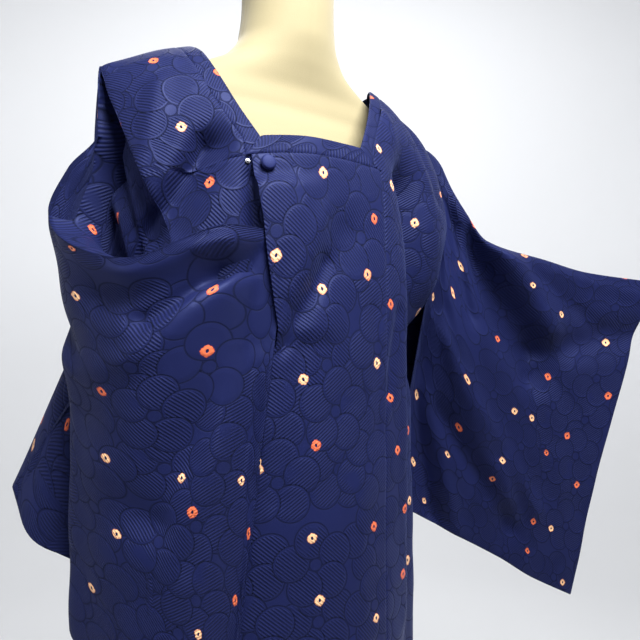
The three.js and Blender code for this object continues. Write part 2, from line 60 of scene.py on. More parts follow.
def columns(names, *rows):
    """A table with named columns, as one array for each column."""
    return {name: np.array(values, float) for name, values in zip(names.split(), zip(*rows))}


# The cut of the coat.
SLEEVE_WIDTH = 380
SLEEVE_HEIGHT = 490
ARMHOLE = 242
UNDERARM_SLIT = 100
NECK_STRIP = 17
NECK_HALF_RIGHT = 126
NECK_HALF_LEFT = 118
NECK_FRONT = 151
NECK_BACK_DROP = 62
NECK_CORNER_RIGHT = -94
NECK_CORNER_LEFT = 22
NECK_ROUND = 2.6
BAND_SEAM_LEFT = 47
BAND_SEAM_RIGHT = -84
UNDER_BAND_EDGE = 45
UNDER_SINK = 8
OVERLAP_STEP = 3
NOTCH = 0.4
STRIP_EDGE = NECK_STRIP + GAP
PANEL_TOP = NECK_FRONT + STRIP_EDGE
HEM_BACK = -890
HEM_FRONT = 893
CUFF_BOW = 11

# Level sections of the worn coat, from the back hem over the shoulder (0) to the front hem.
TORSO = columns(
    "along height depth right left rise",
    (-890, 425, 115, 170, 158, 0),
    (-720, 595, 112, 168, 156, 0),
    (-550, 765, 109, 166, 155, 2),
    (-380, 936, 106, 170, 159, 6),
    (-300, 1016, 105, 188, 176, 12),
    (-230, 1085, 102, 210, 210, 22),
    (-170, 1142, 94, 217, 217, 34),
    (-115, 1191, 78, 219, 219, 46),
    (-70, 1231, 56, 219, 219, 56),
    (-30, 1257, 28, 218, 218, 63),
    (0, 1265, 0, 217, 217, 65),
    (30, 1256, -30, 218, 219, 63),
    (70, 1230, -62, 219, 226, 58),
    (115, 1192, -88, 219, 232, 51),
    (165, 1147, -107, 219, 236, 44),
    (230, 1085, -117, 214, 216, 32),
    (300, 1018, -120, 190, 178, 18),
    (380, 938, -120, 170, 158, 8),
    (550, 768, -120, 166, 155, 2),
    (720, 598, -121, 168, 156, 0),
    (893, 425, -122, 170, 158, 0),
)

# Front and back of a body panel meet here in degrees from the front, with a slight lap.
SIDE_SEAM_TURN = 90.15

ARMHOLE_TURNS = columns(
    "along right left",
    (-242, 64, 72),
    (-115, 74, 78),
    (0, 88, 88),
    (50, 80, 82),
    (115, 70, 78),
    (165, 63, 76),
    (242, 54, 80),
)

# Main troughs of the worn fronts and back: along and across place each end, depth is inward.
TORSO_FOLDS = (
    (165, 112, 320, 142, 42, 30),
    (150, -140, 215, -178, 16, 17),
    (235, -10, 305, -58, 6, 22),
    (-420, -150, -260, -120, 12, 26),
    (-400, 150, -240, 118, 14, 26),
)

OVERLAP_EDGE = columns(
    "along across",
    (168, -106),
    (205, -104),
    (225, -101),
    (245, -99),
    (296, -90),
    (318, -86),
    (330, -86),
    (340, -92),
    (352, -101),
    (385, -109),
    (430, -114),
    (500, -121),
    (600, -129),
    (893, -137),
)

OVERLAP_LIFT = columns(
    "along out",
    (140, 3),
    (184, 3),
    (200, 12.8),
    (314, 10.8),
    (336, 3),
    (893, 3),
)

RIGHT_SLEEVE = columns(
    "along topAngle topRadius topHeight hemAngle hemRadius hemHeight open waist",
    (0, 0, 219, 1263, -14, 289, 859, 30, 0),
    (52, 0, 219, 1202, -10, 280, 828, 28, 6),
    (87, -2, 244, 1166, -6, 268, 800, 26, 14),
    (128, -3, 261, 1124, -1, 249, 757, 24, 12),
    (160, 2, 261, 1101, 4, 241, 733, 22, 8),
    (240, 23, 246, 1071, 20, 226, 690, 20, 0),
    (318, 41, 200, 1102, 30, 186, 645, 9, 0),
    (352, 50, 142, 1107, 32, 166, 625, 3, 0),
    (380, 56, 142, 1110, 33, 156, 610, 2.3, 0),
)

LEFT_SLEEVE = columns(
    "along topX topY topZ hemX hemY hemZ open",
    (0, 234, -4, 1263, 223, 72, 778, 14),
    (60, 246, -16, 1216, 262, 52, 754, 22),
    (100, 265, -29, 1176, 289, 39, 737, 24),
    (135, 289, -40, 1143, 314, 27, 722, 22),
    (225, 374, -80, 1118, 374, -3, 686, 16),
    (290, 431, -107, 1103, 418, -25, 655, 9),
    (380, 526, -152, 1092, 476, -54, 624, 7),
)

# Folds of the sleeves: along, down at each end, then height outward and width.
RIGHT_SLEEVE_FOLDS = (
    (215, 66, 345, 38, -9, 20),
    (240, 22, 318, 30, 5, 18),
    (348, 88, 250, 290, -14, 26),
    (104, 270, 110, 520, -44, 23),
    (160, 180, 160, 520, 9, 22),
)

LEFT_SLEEVE_FOLDS = (
    (138, 4, 245, 120, 15, 24),
    (120, 60, 225, 190, -20, 30),
    (45, 140, 205, 400, 12, 26),
    (20, 300, 90, 480, -12, 34),
)

FORM_RINGS = columns(
    "along half depth shift",
    (640, 122, 84, 0),
    (700, 136, 94, 0),
    (780, 140, 97, 0),
    (880, 130, 92, 0),
    (980, 116, 85, 0),
    (1060, 119, 82, 0),
    (1120, 126, 76, 0),
    (1170, 144, 64, 0),
    (1210, 172, 50, 0),
    (1240, 186, 40, 0),
    (1262, 174, 33, 0),
    (1280, 146, 34, 2),
    (1298, 110, 40, 4),
    (1318, 76, 47, 5),
    (1345, 58, 52, 4),
    (1385, 53, 53, 2),
    (1428, 53, 53, 0),
)


def mix(low, high, part):
    return low + (high - low) * part


def smooth(low, high, value):
    part = np.clip((value - low) / (high - low), 0, 1)
    return part * part * (3 - 2 * part)


def read(rows, place, column):
    """One column of a table at any place along it, on a smooth curve through the rows."""
    xs, ys = rows["along"], rows[column]
    rate = np.diff(ys) / np.diff(xs)
    before = np.concatenate([rate[:1], rate])
    after = np.concatenate([rate, rate[-1:]])
    product = before * after
    total = np.where(product > 0, before + after, 1)
    slope = np.where(product > 0, 2 * product / total, 0)
    value = np.clip(place, xs[0], xs[-1])
    row = np.clip(np.searchsorted(xs, value) - 1, 0, len(xs) - 2)
    span = xs[row + 1] - xs[row]
    part = (value - xs[row]) / span
    square, cube = part**2, part**3
    return (
        ys[row] * (2 * cube - 3 * square + 1)
        + slope[row] * span * (cube - 2 * square + part)
        + ys[row + 1] * (3 * square - 2 * cube)
        + slope[row + 1] * span * (cube - square)
    )


def fold(first, second, a0, b0, a1, b1, size, width):
    """Height of a soft fold that runs from (a0, b0) to (a1, b1) on a flat layout."""
    run_a, run_b = a1 - a0, b1 - b0
    part = ((first - a0) * run_a + (second - b0) * run_b) / (run_a**2 + run_b**2)
    near = np.clip(part, 0, 1)
    away = np.hypot(first - a0 - run_a * near, second - b0 - run_b * near)
    return size * np.exp(-((away / width) ** 2))


def folds(table, first, second):
    return sum(fold(first, second, *row) for row in table)


def unit(vectors):
    return vectors / np.maximum(np.linalg.norm(vectors, axis=-1, keepdims=True), 1e-12)


def torso_half(along, turn):
    return np.where(turn < 0, read(TORSO, along, "right"), read(TORSO, along, "left"))


def turn_at(along, across):
    return np.arcsin(np.clip(across / torso_half(along, across), -1, 1)) / DEGREE


def across_at(along, turn):
    return torso_half(along, turn) * np.sin(turn * DEGREE)


def torso_bare(along, turn):
    angle = turn * DEGREE
    rise = read(TORSO, along, "rise") * np.cos(angle) ** 2
    return np.stack(
        [
            torso_half(along, turn) * np.sin(angle),
            read(TORSO, along, "depth") * np.cos(angle),
            read(TORSO, along, "height") + rise,
        ],
        axis=-1,
    )


def torso(along, turn, out=0.0, creases=()):
    """Points of the coat's outer face, moved out along the face, and the face's normals."""
    along, turn = np.broadcast_arrays(np.asarray(along, float), np.asarray(turn, float))
    down = torso_bare(along + 2, turn) - torso_bare(along - 2, turn)
    round_ = torso_bare(along, turn + 1) - torso_bare(along, turn - 1)
    normal = unit(np.cross(down, round_))
    across = across_at(along, turn)
    lift = out - folds(TORSO_FOLDS, along, across)
    if creases:
        lift = lift + folds(creases, along, across)
    return torso_bare(along, turn) + normal * lift[..., None], normal


def neck_half(side):
    return NECK_HALF_RIGHT if side < 0 else NECK_HALF_LEFT


def neck_across(side, along):
    part = np.clip(along / NECK_FRONT, 0, 1)
    if side < 0:
        return mix(-NECK_HALF_RIGHT, NECK_CORNER_RIGHT, part**2.4)
    return mix(NECK_HALF_LEFT, NECK_CORNER_LEFT, part)


def neck_back_place(side, angle, edge):
    """A place on the arc of the back neck, from its low middle to the shoulder."""
    down = (NECK_BACK_DROP + edge) * np.sin(angle) ** (2 / NECK_ROUND) + GAP / 2
    across = (neck_half(side) + edge) * np.cos(angle) ** (2 / NECK_ROUND)
    return -down, side * across


NECK_BACK_LOW = -(NECK_BACK_DROP + STRIP_EDGE + GAP / 2)


def body_inner(side, along):
    """Where a body panel begins: the back seam, the neck band or the front band's seam."""
    part = np.clip((-along - GAP / 2) / (NECK_BACK_DROP + STRIP_EDGE), 0, 1)
    curve = (neck_half(side) + STRIP_EDGE) * (1 - part**NECK_ROUND) ** (1 / NECK_ROUND)
    seam = BAND_SEAM_RIGHT if side < 0 else BAND_SEAM_LEFT
    back = side * np.maximum(GAP / 2, curve)
    front = np.where(along <= PANEL_TOP, neck_across(side, along) + side * STRIP_EDGE, seam)
    return np.where(along < NECK_BACK_LOW, side * GAP / 2, np.where(along < 0, back, front))


def body_outer_turn(side, along):
    key = "right" if side < 0 else "left"
    reach = np.abs(along)
    edge = read(ARMHOLE_TURNS, np.clip(along, -ARMHOLE, ARMHOLE), key)
    closing = smooth(ARMHOLE, ARMHOLE + UNDERARM_SLIT, reach)
    return side * mix(edge, SIDE_SEAM_TURN, closing)


def overlap_out(along, across):
    edge = read(OVERLAP_EDGE, along, "across")
    lift = read(OVERLAP_LIFT, along, "out") - OVERLAP_STEP
    return OVERLAP_STEP * smooth(0, -55, across) + lift * smooth(edge + 84, edge + 24, across)


# How far from an edge the first rows of a grid lie, so that the edge can be rolled.
EDGE_ROWS = np.array([0, 0.5, 1.2, 2.4, 4.2])


def steps(low, high, spacing):
    """Places from low to high, closer together near both ends."""
    reach = EDGE_ROWS[-1]
    middle = np.linspace(low + reach, high - reach, max(2, int((high - low) / spacing)))
    return np.concatenate([low + EDGE_ROWS[:-1], middle, high - EDGE_ROWS[-2::-1]])


def shares(length, spacing):
    """Places across a piece as shares of its width, closer together near both edges."""
    return steps(0, length, spacing) / length


def edge_roll(points, left=0.0, right=0.0, low=0.0, high=0.0, width=1.5):
    """How far a face dips towards its edges, from the distance to each edge."""
    across = np.linalg.norm(np.diff(points, axis=1), axis=2)
    across = np.concatenate([np.zeros((len(points), 1)), np.cumsum(across, axis=1)], axis=1)
    along = np.linalg.norm(np.diff(points, axis=0), axis=2)
    along = np.concatenate([np.zeros((1, points.shape[1])), np.cumsum(along, axis=0)], axis=0)
    dip = left * np.exp(-((across / width) ** 2))
    dip = dip + right * np.exp(-(((across[:, -1:] - across) / width) ** 2))
    dip = dip + low * np.exp(-((along / width) ** 2))
    return dip + high * np.exp(-(((along[-1:] - along) / width) ** 2))


# Turns per millimetre in two directions, and the shift, of each wave.
RIPPLE_WAVES = (
    (0.041, 0.013, 0.4),
    (-0.023, 0.037, 1.9),
    (0.067, -0.029, 3.1),
    (0.017, 0.071, 5.2),
    (0.093, 0.052, 0.9),
)


def ripple(first, second, size):
    """Soft unevenness of hanging cloth, from a few long waves."""
    waves = [np.sin(a * first + b * second + shift) for a, b, shift in RIPPLE_WAVES]
    return size * sum(waves) / len(waves)


def face_normals(points):
    """Normals of a grid of points, along rows crossed with columns."""
    return unit(np.cross(np.gradient(points, axis=0), np.gradient(points, axis=1)))


def mesh_piece(name, vertices, faces, material, uv=None):
    """A mesh object in metres, with its material. uv holds one place for each vertex."""
    mesh = bpy.data.meshes.new(name)
    mesh.from_pydata((vertices * MM).tolist(), [], faces)
    mesh.polygons.foreach_set("use_smooth", [True] * len(mesh.polygons))
    if uv is not None:
        layer = mesh.uv_layers.new(name="Cloth")
        corners = np.zeros(len(mesh.loops), np.int32)
        mesh.loops.foreach_get("vertex_index", corners)
        layer.data.foreach_set("uv", (uv * MM)[corners].astype(np.float32).ravel())
    mesh.materials.append(material)
    mesh.update()
    piece = bpy.data.objects.new(name, mesh)
    bpy.context.scene.collection.objects.link(piece)
    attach(piece, BODY)
    return piece


def grid_quads(rows, across):
    """The four corners of each face on a grid of points."""
    corner = (np.arange(rows - 1)[:, None] * across + np.arange(across - 1)).ravel()
    return np.stack([corner, corner + across, corner + across + 1, corner + 1], axis=1)


def cloth_piece(name, points, normals, uv, settings):
    """A thin closed shell on a grid of points. Its second face lies behind the first."""
    rows, across = points.shape[:2]
    count = rows * across
    behind = points - normals * (settings.cloth_thickness / MM)
    vertices = np.concatenate([points.reshape(-1, 3), behind.reshape(-1, 3)])
    front = grid_quads(rows, across)
    back = (front + count)[:, ::-1]
    index = np.arange(count).reshape(rows, across)
    border = np.concatenate([index[0], index[1:, -1], index[-1, -2::-1], index[-2:0:-1, 0]])
    after = np.roll(border, -1)
    rim = np.stack([border, after, after + count, border + count], axis=1)
    faces = np.concatenate([front, back, rim]).tolist()
    flat = uv.reshape(-1, 2)
    return mesh_piece(name, vertices, faces, silk_material(settings), np.concatenate([flat, flat]))


def arc_lengths(points, axis):
    """Distances along a grid's rows or columns, from its first line."""
    gaps = np.linalg.norm(np.diff(points, axis=axis), axis=2)
    shape = list(points.shape[:2])
    shape[axis] = 1
    return np.concatenate([np.zeros(shape), np.cumsum(gaps, axis=axis)], axis=axis)


def torso_uv(along, turn, points):
    """Cloth places of a panel: across the cloth from the front's middle, and along it."""
    inner = across_at(along[:, :1], turn[:, :1])
    side = np.sign(turn[:, -1:] - turn[:, :1])
    return np.stack([inner + side * arc_lengths(points, 1), -along], axis=-1)


# Smaller creases of the worn fronts: along, across at each end, height outward, width.
BODY_CREASES = (
    (80, -176, 165, -198, 3.5, 10),
    (40, 150, 150, 178, -4.0, 13),
    (90, 84, 240, 92, 3.0, 12),
    (260, 84, 620, 92, 2.2, 11),
    (300, 112, 700, 108, -5.0, 14),
    (300, 70, 380, 52, -4.0, 8),
    (188, -107, 234, -106, -6.0, 8),
    (144, -146, 200, -184, -7.0, 8),
    (480, 122, 890, 132, 3.0, 16),
    (420, -140, 880, -120, -4.0, 18),
    (-120, 60, -520, 84, -4.0, 20),
    (-160, -70, -600, -92, -4.5, 22),
    (-300, 20, -860, 38, 3.0, 24),
    (-330, -30, -880, -46, 2.6, 22),
    (-60, 150, -210, 180, -5.0, 16),
    (-60, -150, -210, -178, -5.0, 16),
)

BAND_CREASES = (
    (262, -34, 330, -80, -5.0, 9),
    (214, -30, 285, -76, 1.8, 9),
    (330, -62, 470, -84, -1.6, 9),
    (300, 28, 420, 36, -1.2, 8),
    (460, 10, 880, 4, 1.6, 22),
    (520, -60, 880, -72, -1.8, 20),
)

RIGHT_SLEEVE_CREASES = (
    (250, 118, 150, 190, 3.0, 16),
    (360, 190, 300, 330, -3.5, 14),
    (372, 250, 352, 470, -3.0, 10),
    (340, 70, 240, 128, 2.5, 14),
    (360, 20, 300, 28, 5.0, 10),
    (358, 42, 308, 56, -14.0, 10),
    (308, 56, 250, 82, -8.0, 11),
    (200, 250, 190, 470, 2.6, 20),
    (262, 300, 236, 480, -3.0, 20),
    (374, 92, 338, 128, -4.0, 12),
    (130, 120, 142, 300, -4.0, 14),
)

# The right sleeve's hidden layer, which takes up its spare cloth in upright folds.
HIDDEN_SLEEVE_CREASES = (
    (46, 100, 50, 330, 18, 13),
    (78, 90, 76, 300, 18, 12),
    (136, 60, 140, 520, 20, 13),
    (172, 70, 178, 520, 20, 13),
    (210, 90, 216, 520, 18, 13),
    (250, 260, 262, 520, 14, 12),
    (296, 360, 308, 520, 12, 12),
)

# The hidden creases are full as far as the first of these reaches and gone at the second.
HIDDEN_CREASES_FULL = 290
HIDDEN_CREASES_END = 470

LEFT_SLEEVE_CREASES = (
    (205, 40, 330, 96, -3.6, 14),
    (80, 210, 185, 330, -5.0, 15),
    (130, 250, 240, 420, 3.0, 16),
    (250, 20, 370, 36, 2.0, 12),
    (60, 330, 130, 480, 3.6, 16),
    (240, 160, 350, 250, -2.4, 20),
    (300, 300, 360, 470, 2.2, 22),
    (90, 240, 275, 385, 6.0, 18),
    (100, 330, 235, 430, -7.0, 20),
    (72, 60, 118, 150, -7.0, 16),
    (228, 150, 372, 96, -8.0, 24),
    (116, 40, 224, 150, -7.0, 18),
    (30, 280, 84, 470, -8.0, 30),
)

SEAM_DIP = 0.7
EDGE_DIP = 0.5
ARMHOLE_GAP = -0.3
CUFF_WALL = 2.3
SHOULDER_CORNERS = {-1: (-280, 71, 859), 1: (223, 72, 778)}
SLEEVE_FRONT = np.array([-0.437, -0.9, 0.0])
SLEEVE_ALONG = np.array([-0.9, 0.437, 0.0])


def smooth_max(first, second, width=7.0):
    """The greater of two heights, rounded where they cross."""
    part = np.clip(0.5 + 0.5 * (first - second) / width, 0, 1)
    return mix(second, first, part) + width * part * (1 - part)


def sleeve_edge(side, down, corner):
    """The edge of a sleeve that is sewn to the armhole, then hangs free to its lower corner."""
    reach = np.abs(down)
    along = -np.sign(down) * np.minimum(reach, ARMHOLE)
    turn = body_outer_turn(side, along)
    point, _ = torso(along, turn, -SEAM_DIP, BODY_CREASES)
    sideways = unit(torso_bare(along, turn + side) - torso_bare(along, turn - side))
    part = np.clip((reach - ARMHOLE) / (SLEEVE_HEIGHT - ARMHOLE), 0, 1)
    return mix(point + sideways * ARMHOLE_GAP, corner, part[..., None])


def sleeve_open(open_, reach):
    """Half the distance between a sleeve's two layers: round at the top, closed at the hem."""
    rounding = np.sqrt(1 - (1 - np.minimum(1, reach / 45)) ** 2)
    return rounding * mix(CUFF_WALL, np.maximum(open_, CUFF_WALL), smooth(SLEEVE_HEIGHT, 160, reach))


def sleeve_own(along, reach, most):
    """How far the sleeve has taken its own shape at a distance from the armhole."""
    shoulder = np.minimum(1, reach / 150)
    spread = 26 + most * shoulder * (1 - 0.7 * smooth(230, SLEEVE_HEIGHT, reach))
    return np.sin(np.pi / 2 * np.minimum(1, along / spread))[..., None]


def sleeve_fall(reach):
    part = reach / SLEEVE_HEIGHT
    return part**2 * 1.05 / (part + 0.05)


def body_radius(angle, height):
    """The coat's radius at an angle and height, for what is wrapped around it."""
    low = np.full(angle.shape, 40.0)
    high = np.full(angle.shape, 893.0)
    radius = low
    for _ in range(24):
        along = (low + high) / 2
        depth = -read(TORSO, along, "depth")
        radius = 1 / np.hypot(np.cos(angle) / read(TORSO, along, "right"), np.sin(angle) / depth)
        rise = read(TORSO, along, "rise") * (radius * np.sin(angle) / depth) ** 2
        above = read(TORSO, along, "height") + rise > height
        low = np.where(above, along, low)
        high = np.where(above, high, along)
    return radius


def right_sleeve(along, down, relief):
    """The sleeve that is drawn across the front. Its back layer (down over 0) lies outside."""
    reach = np.abs(down)
    fall = sleeve_fall(reach)
    outer = down > 0
    angle = mix(read(RIGHT_SLEEVE, along, "topAngle"), read(RIGHT_SLEEVE, along, "hemAngle"), fall) * DEGREE
    height = mix(read(RIGHT_SLEEVE, along, "topHeight"), read(RIGHT_SLEEVE, along, "hemHeight"), fall)
    open_ = sleeve_open(read(RIGHT_SLEEVE, along, "open"), reach)
    radius = mix(read(RIGHT_SLEEVE, along, "topRadius"), read(RIGHT_SLEEVE, along, "hemRadius"), fall)
    radius = radius - read(RIGHT_SLEEVE, along, "waist") * np.sin(np.pi * fall)
    main = folds(RIGHT_SLEEVE_FOLDS, along, reach) * smooth(4, 40, reach)
    radius = radius + main * np.where(outer, 1, 0.8) + relief * smooth(0, 30, reach)
    stand_off = mix(6.6, 3.6, smooth(982, 1004, height))
    least = (body_radius(angle, height) + stand_off) * smooth(12, 34, angle / DEGREE)
    inner_radius = smooth_max(radius - 2 * open_, least - open_)
    radius = np.where(outer, smooth_max(radius, least + open_), inner_radius)
    wall = np.stack([-radius * np.cos(angle), -radius * np.sin(angle), height], axis=-1)
    corner = np.array(SHOULDER_CORNERS[-1]) + np.where(outer, 2.4, -2.4)[..., None] * np.array([0, 1, 0])
    return mix(sleeve_edge(-1, down, corner), wall, sleeve_own(along, reach, 190))


def left_sleeve(along, down, relief):
    """The sleeve that is held out to the side. Its front layer has down under 0."""
    reach = np.abs(down)
    fall = sleeve_fall(reach)
    ends = [
        mix(read(LEFT_SLEEVE, along, "top" + axis), read(LEFT_SLEEVE, along, "hem" + axis), fall)
        for axis in "XYZ"
    ]
    bow = CUFF_BOW * np.sin(np.pi * fall) * smooth(200, SLEEVE_WIDTH, along)
    middle = np.stack(ends, axis=-1) + bow[..., None] * SLEEVE_ALONG
    open_ = sleeve_open(read(LEFT_SLEEVE, along, "open"), reach)
    main = folds(LEFT_SLEEVE_FOLDS, along, reach) * smooth(2, 30, reach) + relief * smooth(0, 30, reach)
    side = np.where(down < 0, 1, -1)
    wall = middle + (main + side * open_)[..., None] * SLEEVE_FRONT
    corner = np.array(SHOULDER_CORNERS[1]) - (2.4 * side)[..., None] * np.array([0, 1, 0])
    return mix(sleeve_edge(1, down, corner), wall, sleeve_own(along, reach, 140))


class Graph:
    """Adds nodes to a node tree, each joined to the ones before it."""

    def __init__(self, tree):
        self.tree = tree

    def node(self, kind, inputs=None, **settings):
        node = self.tree.nodes.new(kind)
        for name, value in settings.items():
            setattr(node, name, value)
        for name, value in (inputs or {}).items():
            self.feed(node.inputs[name], value)
        return node

    def feed(self, socket, value):
        if isinstance(value, bpy.types.NodeSocket):
            self.tree.links.new(value, socket)
        else:
            socket.default_value = value

    def math(self, operation, *values, clamp=False):
        node = self.node("ShaderNodeMath", operation=operation, use_clamp=clamp)
        for socket, value in zip(node.inputs, values):
            self.feed(socket, value)
        return node.outputs[0]

    def vector(self, operation, *values, output="Vector"):
        node = self.node("ShaderNodeVectorMath", operation=operation)
        for socket, value in zip(node.inputs, values):
            self.feed(socket, value)
        return node.outputs[output]

    def ramp(self, value, low, high, start=0.0, end=1.0):
        """A smooth step of a value, from start at low to end at high."""
        inputs = {"Value": value, "From Min": low, "From Max": high, "To Min": start, "To Max": end}
        return self.node("ShaderNodeMapRange", inputs, interpolation_type="SMOOTHSTEP").outputs[0]

    def scale(self, vector, factor):
        """A vector or a colour times a value."""
        inputs = {"Vector": vector, "Scale": factor}
        return self.node("ShaderNodeVectorMath", inputs, operation="SCALE").outputs["Vector"]

    def rotate(self, vector, angle):
        """A place turned around the origin in the plane of the cloth."""
        inputs = {"Vector": vector, "Angle": angle}
        return self.node("ShaderNodeVectorRotate", inputs, rotation_type="Z_AXIS").outputs[0]

    def axes(self, vector):
        return self.node("ShaderNodeSeparateXYZ", {"Vector": vector}).outputs

    def cells(self, place, scale, randomness):
        """Scattered cells: the place from the cell's middle, and three chances for each cell."""
        inputs = {"Vector": place, "Scale": scale, "Randomness": randomness}
        found = self.node("ShaderNodeTexVoronoi", inputs, voronoi_dimensions="2D").outputs
        chance = self.node("ShaderNodeSeparateColor", {"Color": found["Color"]}).outputs
        return self.vector("SUBTRACT", place, found["Position"]), chance

    def bump(self, height, distance, strength):
        """The normal of a surface with fine relief, its distance in metres."""
        inputs = {"Height": height, "Distance": distance, "Strength": strength}
        return self.node("ShaderNodeBump", inputs).outputs["Normal"]

    def blend(self, factor, first, second):
        """A mix of two colours."""
        node = self.node("ShaderNodeMix", data_type="RGBA")
        self.feed(node.inputs[0], factor)
        self.feed(node.inputs[6], first)
        self.feed(node.inputs[7], second)
        return node.outputs[2]

    def noise(self, vector, scale, detail=2.0, dimensions="3D", output="Fac"):
        inputs = {"Vector": vector, "Scale": scale, "Detail": detail}
        return self.node("ShaderNodeTexNoise", inputs, noise_dimensions=dimensions).outputs[output]


def new_group(name, inputs, outputs):
    """An empty shader node group with named sockets, and its graph and input sockets."""
    group = bpy.data.node_groups.new(name, "ShaderNodeTree")
    for label, kind, default in inputs:
        socket = group.interface.new_socket(label, in_out="INPUT", socket_type="NodeSocket" + kind)
        if default is not None:
            socket.default_value = default
    for label, kind in outputs:
        group.interface.new_socket(label, in_out="OUTPUT", socket_type="NodeSocket" + kind)
    graph = Graph(group)
    return group, graph, graph.node("NodeGroupInput").outputs


def close_group(graph, **results):
    node = graph.node("NodeGroupOutput")
    for label, value in results.items():
        graph.feed(node.inputs[label.replace("_", " ")], value)


# The woven blossom, in metres: its petals, their reach from the middle, its eye and its ribs.
PETAL = 0.0176
PETAL_REACH = 0.0236
EYE = 0.0062
OUTLINE = 0.0013
RIB_PITCH = 0.0028
RIB_MARGIN = 0.0018
PUFF_REACH = 0.0055
BLOSSOM_SCATTER = 0.3
PETAL_TURN = 2 * math.pi / 5


def blossom_group():
    """One layer of five-petalled blossoms, scattered over the cloth, petal over petal."""
    group, g, given = new_group(
        "Blossom layer",
        [("Place", "Vector", None), ("Shift", "Vector", None), ("Cell", "Float", 0.12)],
        [("Cover", "Float"), ("Line", "Float"), ("Rib", "Float"), ("Ribbed", "Float"), ("Puff", "Float")],
    )
    place = g.vector("ADD", given["Place"], given["Shift"])
    scale = g.math("DIVIDE", 1.0, given["Cell"])
    local, chance = g.cells(place, scale, BLOSSOM_SCATTER)
    own = g.rotate(local, g.math("MULTIPLY", chance["Red"], 2 * math.pi))
    axes = g.axes(own)
    angle = g.math("ARCTAN2", axes["Y"], axes["X"])
    sector = g.math("FLOOR", g.math("DIVIDE", angle, PETAL_TURN))
    back = g.math("MULTIPLY", sector, -PETAL_TURN)
    turned = g.rotate(own, back)
    first_middle = (PETAL_REACH, 0, 0)
    next_middle = (PETAL_REACH * math.cos(PETAL_TURN), PETAL_REACH * math.sin(PETAL_TURN), 0)
    first = g.math("SUBTRACT", PETAL, g.vector("DISTANCE", turned, first_middle, output="Value"))
    second = g.math("SUBTRACT", PETAL, g.vector("DISTANCE", turned, next_middle, output="Value"))
    in_first = g.math("GREATER_THAN", first, 0.0)
    in_second = g.math("GREATER_THAN", second, 0.0)
    eye = g.math("SUBTRACT", EYE, g.vector("LENGTH", local, output="Value"))
    in_eye = g.math("GREATER_THAN", eye, 0.0)
    outside_eye = g.math("SUBTRACT", 1.0, in_eye)
    under = g.math("SUBTRACT", 1.0, in_first)
    first_line = g.ramp(g.math("ABSOLUTE", first), 0.0, OUTLINE, 1.0, 0.0)
    second_line = g.math("MULTIPLY", g.ramp(g.math("ABSOLUTE", second), 0.0, OUTLINE, 1.0, 0.0), under)
    petal_line = g.math("MULTIPLY", g.math("MAXIMUM", first_line, second_line), outside_eye)
    line = g.math("MAXIMUM", petal_line, g.ramp(g.math("ABSOLUTE", eye), 0.0, OUTLINE, 1.0, 0.0))
    cover = g.math("MAXIMUM", g.math("MAXIMUM", in_first, in_second), in_eye)
    depth = g.math("ADD", g.math("MULTIPLY", first, in_first), g.math("MULTIPLY", second, under))
    within = g.ramp(depth, RIB_MARGIN, RIB_MARGIN + 0.0008)
    puff = g.ramp(depth, 0.0, PUFF_REACH)
    clear_eye = g.ramp(eye, -RIB_MARGIN, -RIB_MARGIN - 0.0008)
    ribbed_one = g.math("GREATER_THAN", chance["Green"], 0.05)
    leaning = g.math("GREATER_THAN", chance["Green"], 0.58)
    lean = g.math("MULTIPLY_ADD", leaning, -1.42, 0.66)
    lean = g.math("MULTIPLY_ADD", chance["Blue"], 0.24, lean)
    height = g.axes(g.rotate(place, lean))["Y"]
    wave = g.math("SINE", g.math("MULTIPLY", height, 2 * math.pi / RIB_PITCH))
    worn = g.ramp(g.noise(place, 26.0, 1.0, "2D"), 0.22, 0.38)
    ribbed = g.math("MULTIPLY", g.math("MULTIPLY", within, clear_eye), g.math("MULTIPLY", ribbed_one, worn))
    rib = g.math("MULTIPLY", g.math("MULTIPLY_ADD", wave, 0.5, 0.5), ribbed)
    close_group(g, Cover=cover, Line=line, Rib=rib, Ribbed=ribbed, Puff=puff)
    return group


# The tied dots, in metres: half width, the dark eye, and the usual distance between them.
DOT = 0.0050
DOT_EYE = 0.0012
DOT_CELL = 0.078
DOT_SCATTER = 0.72


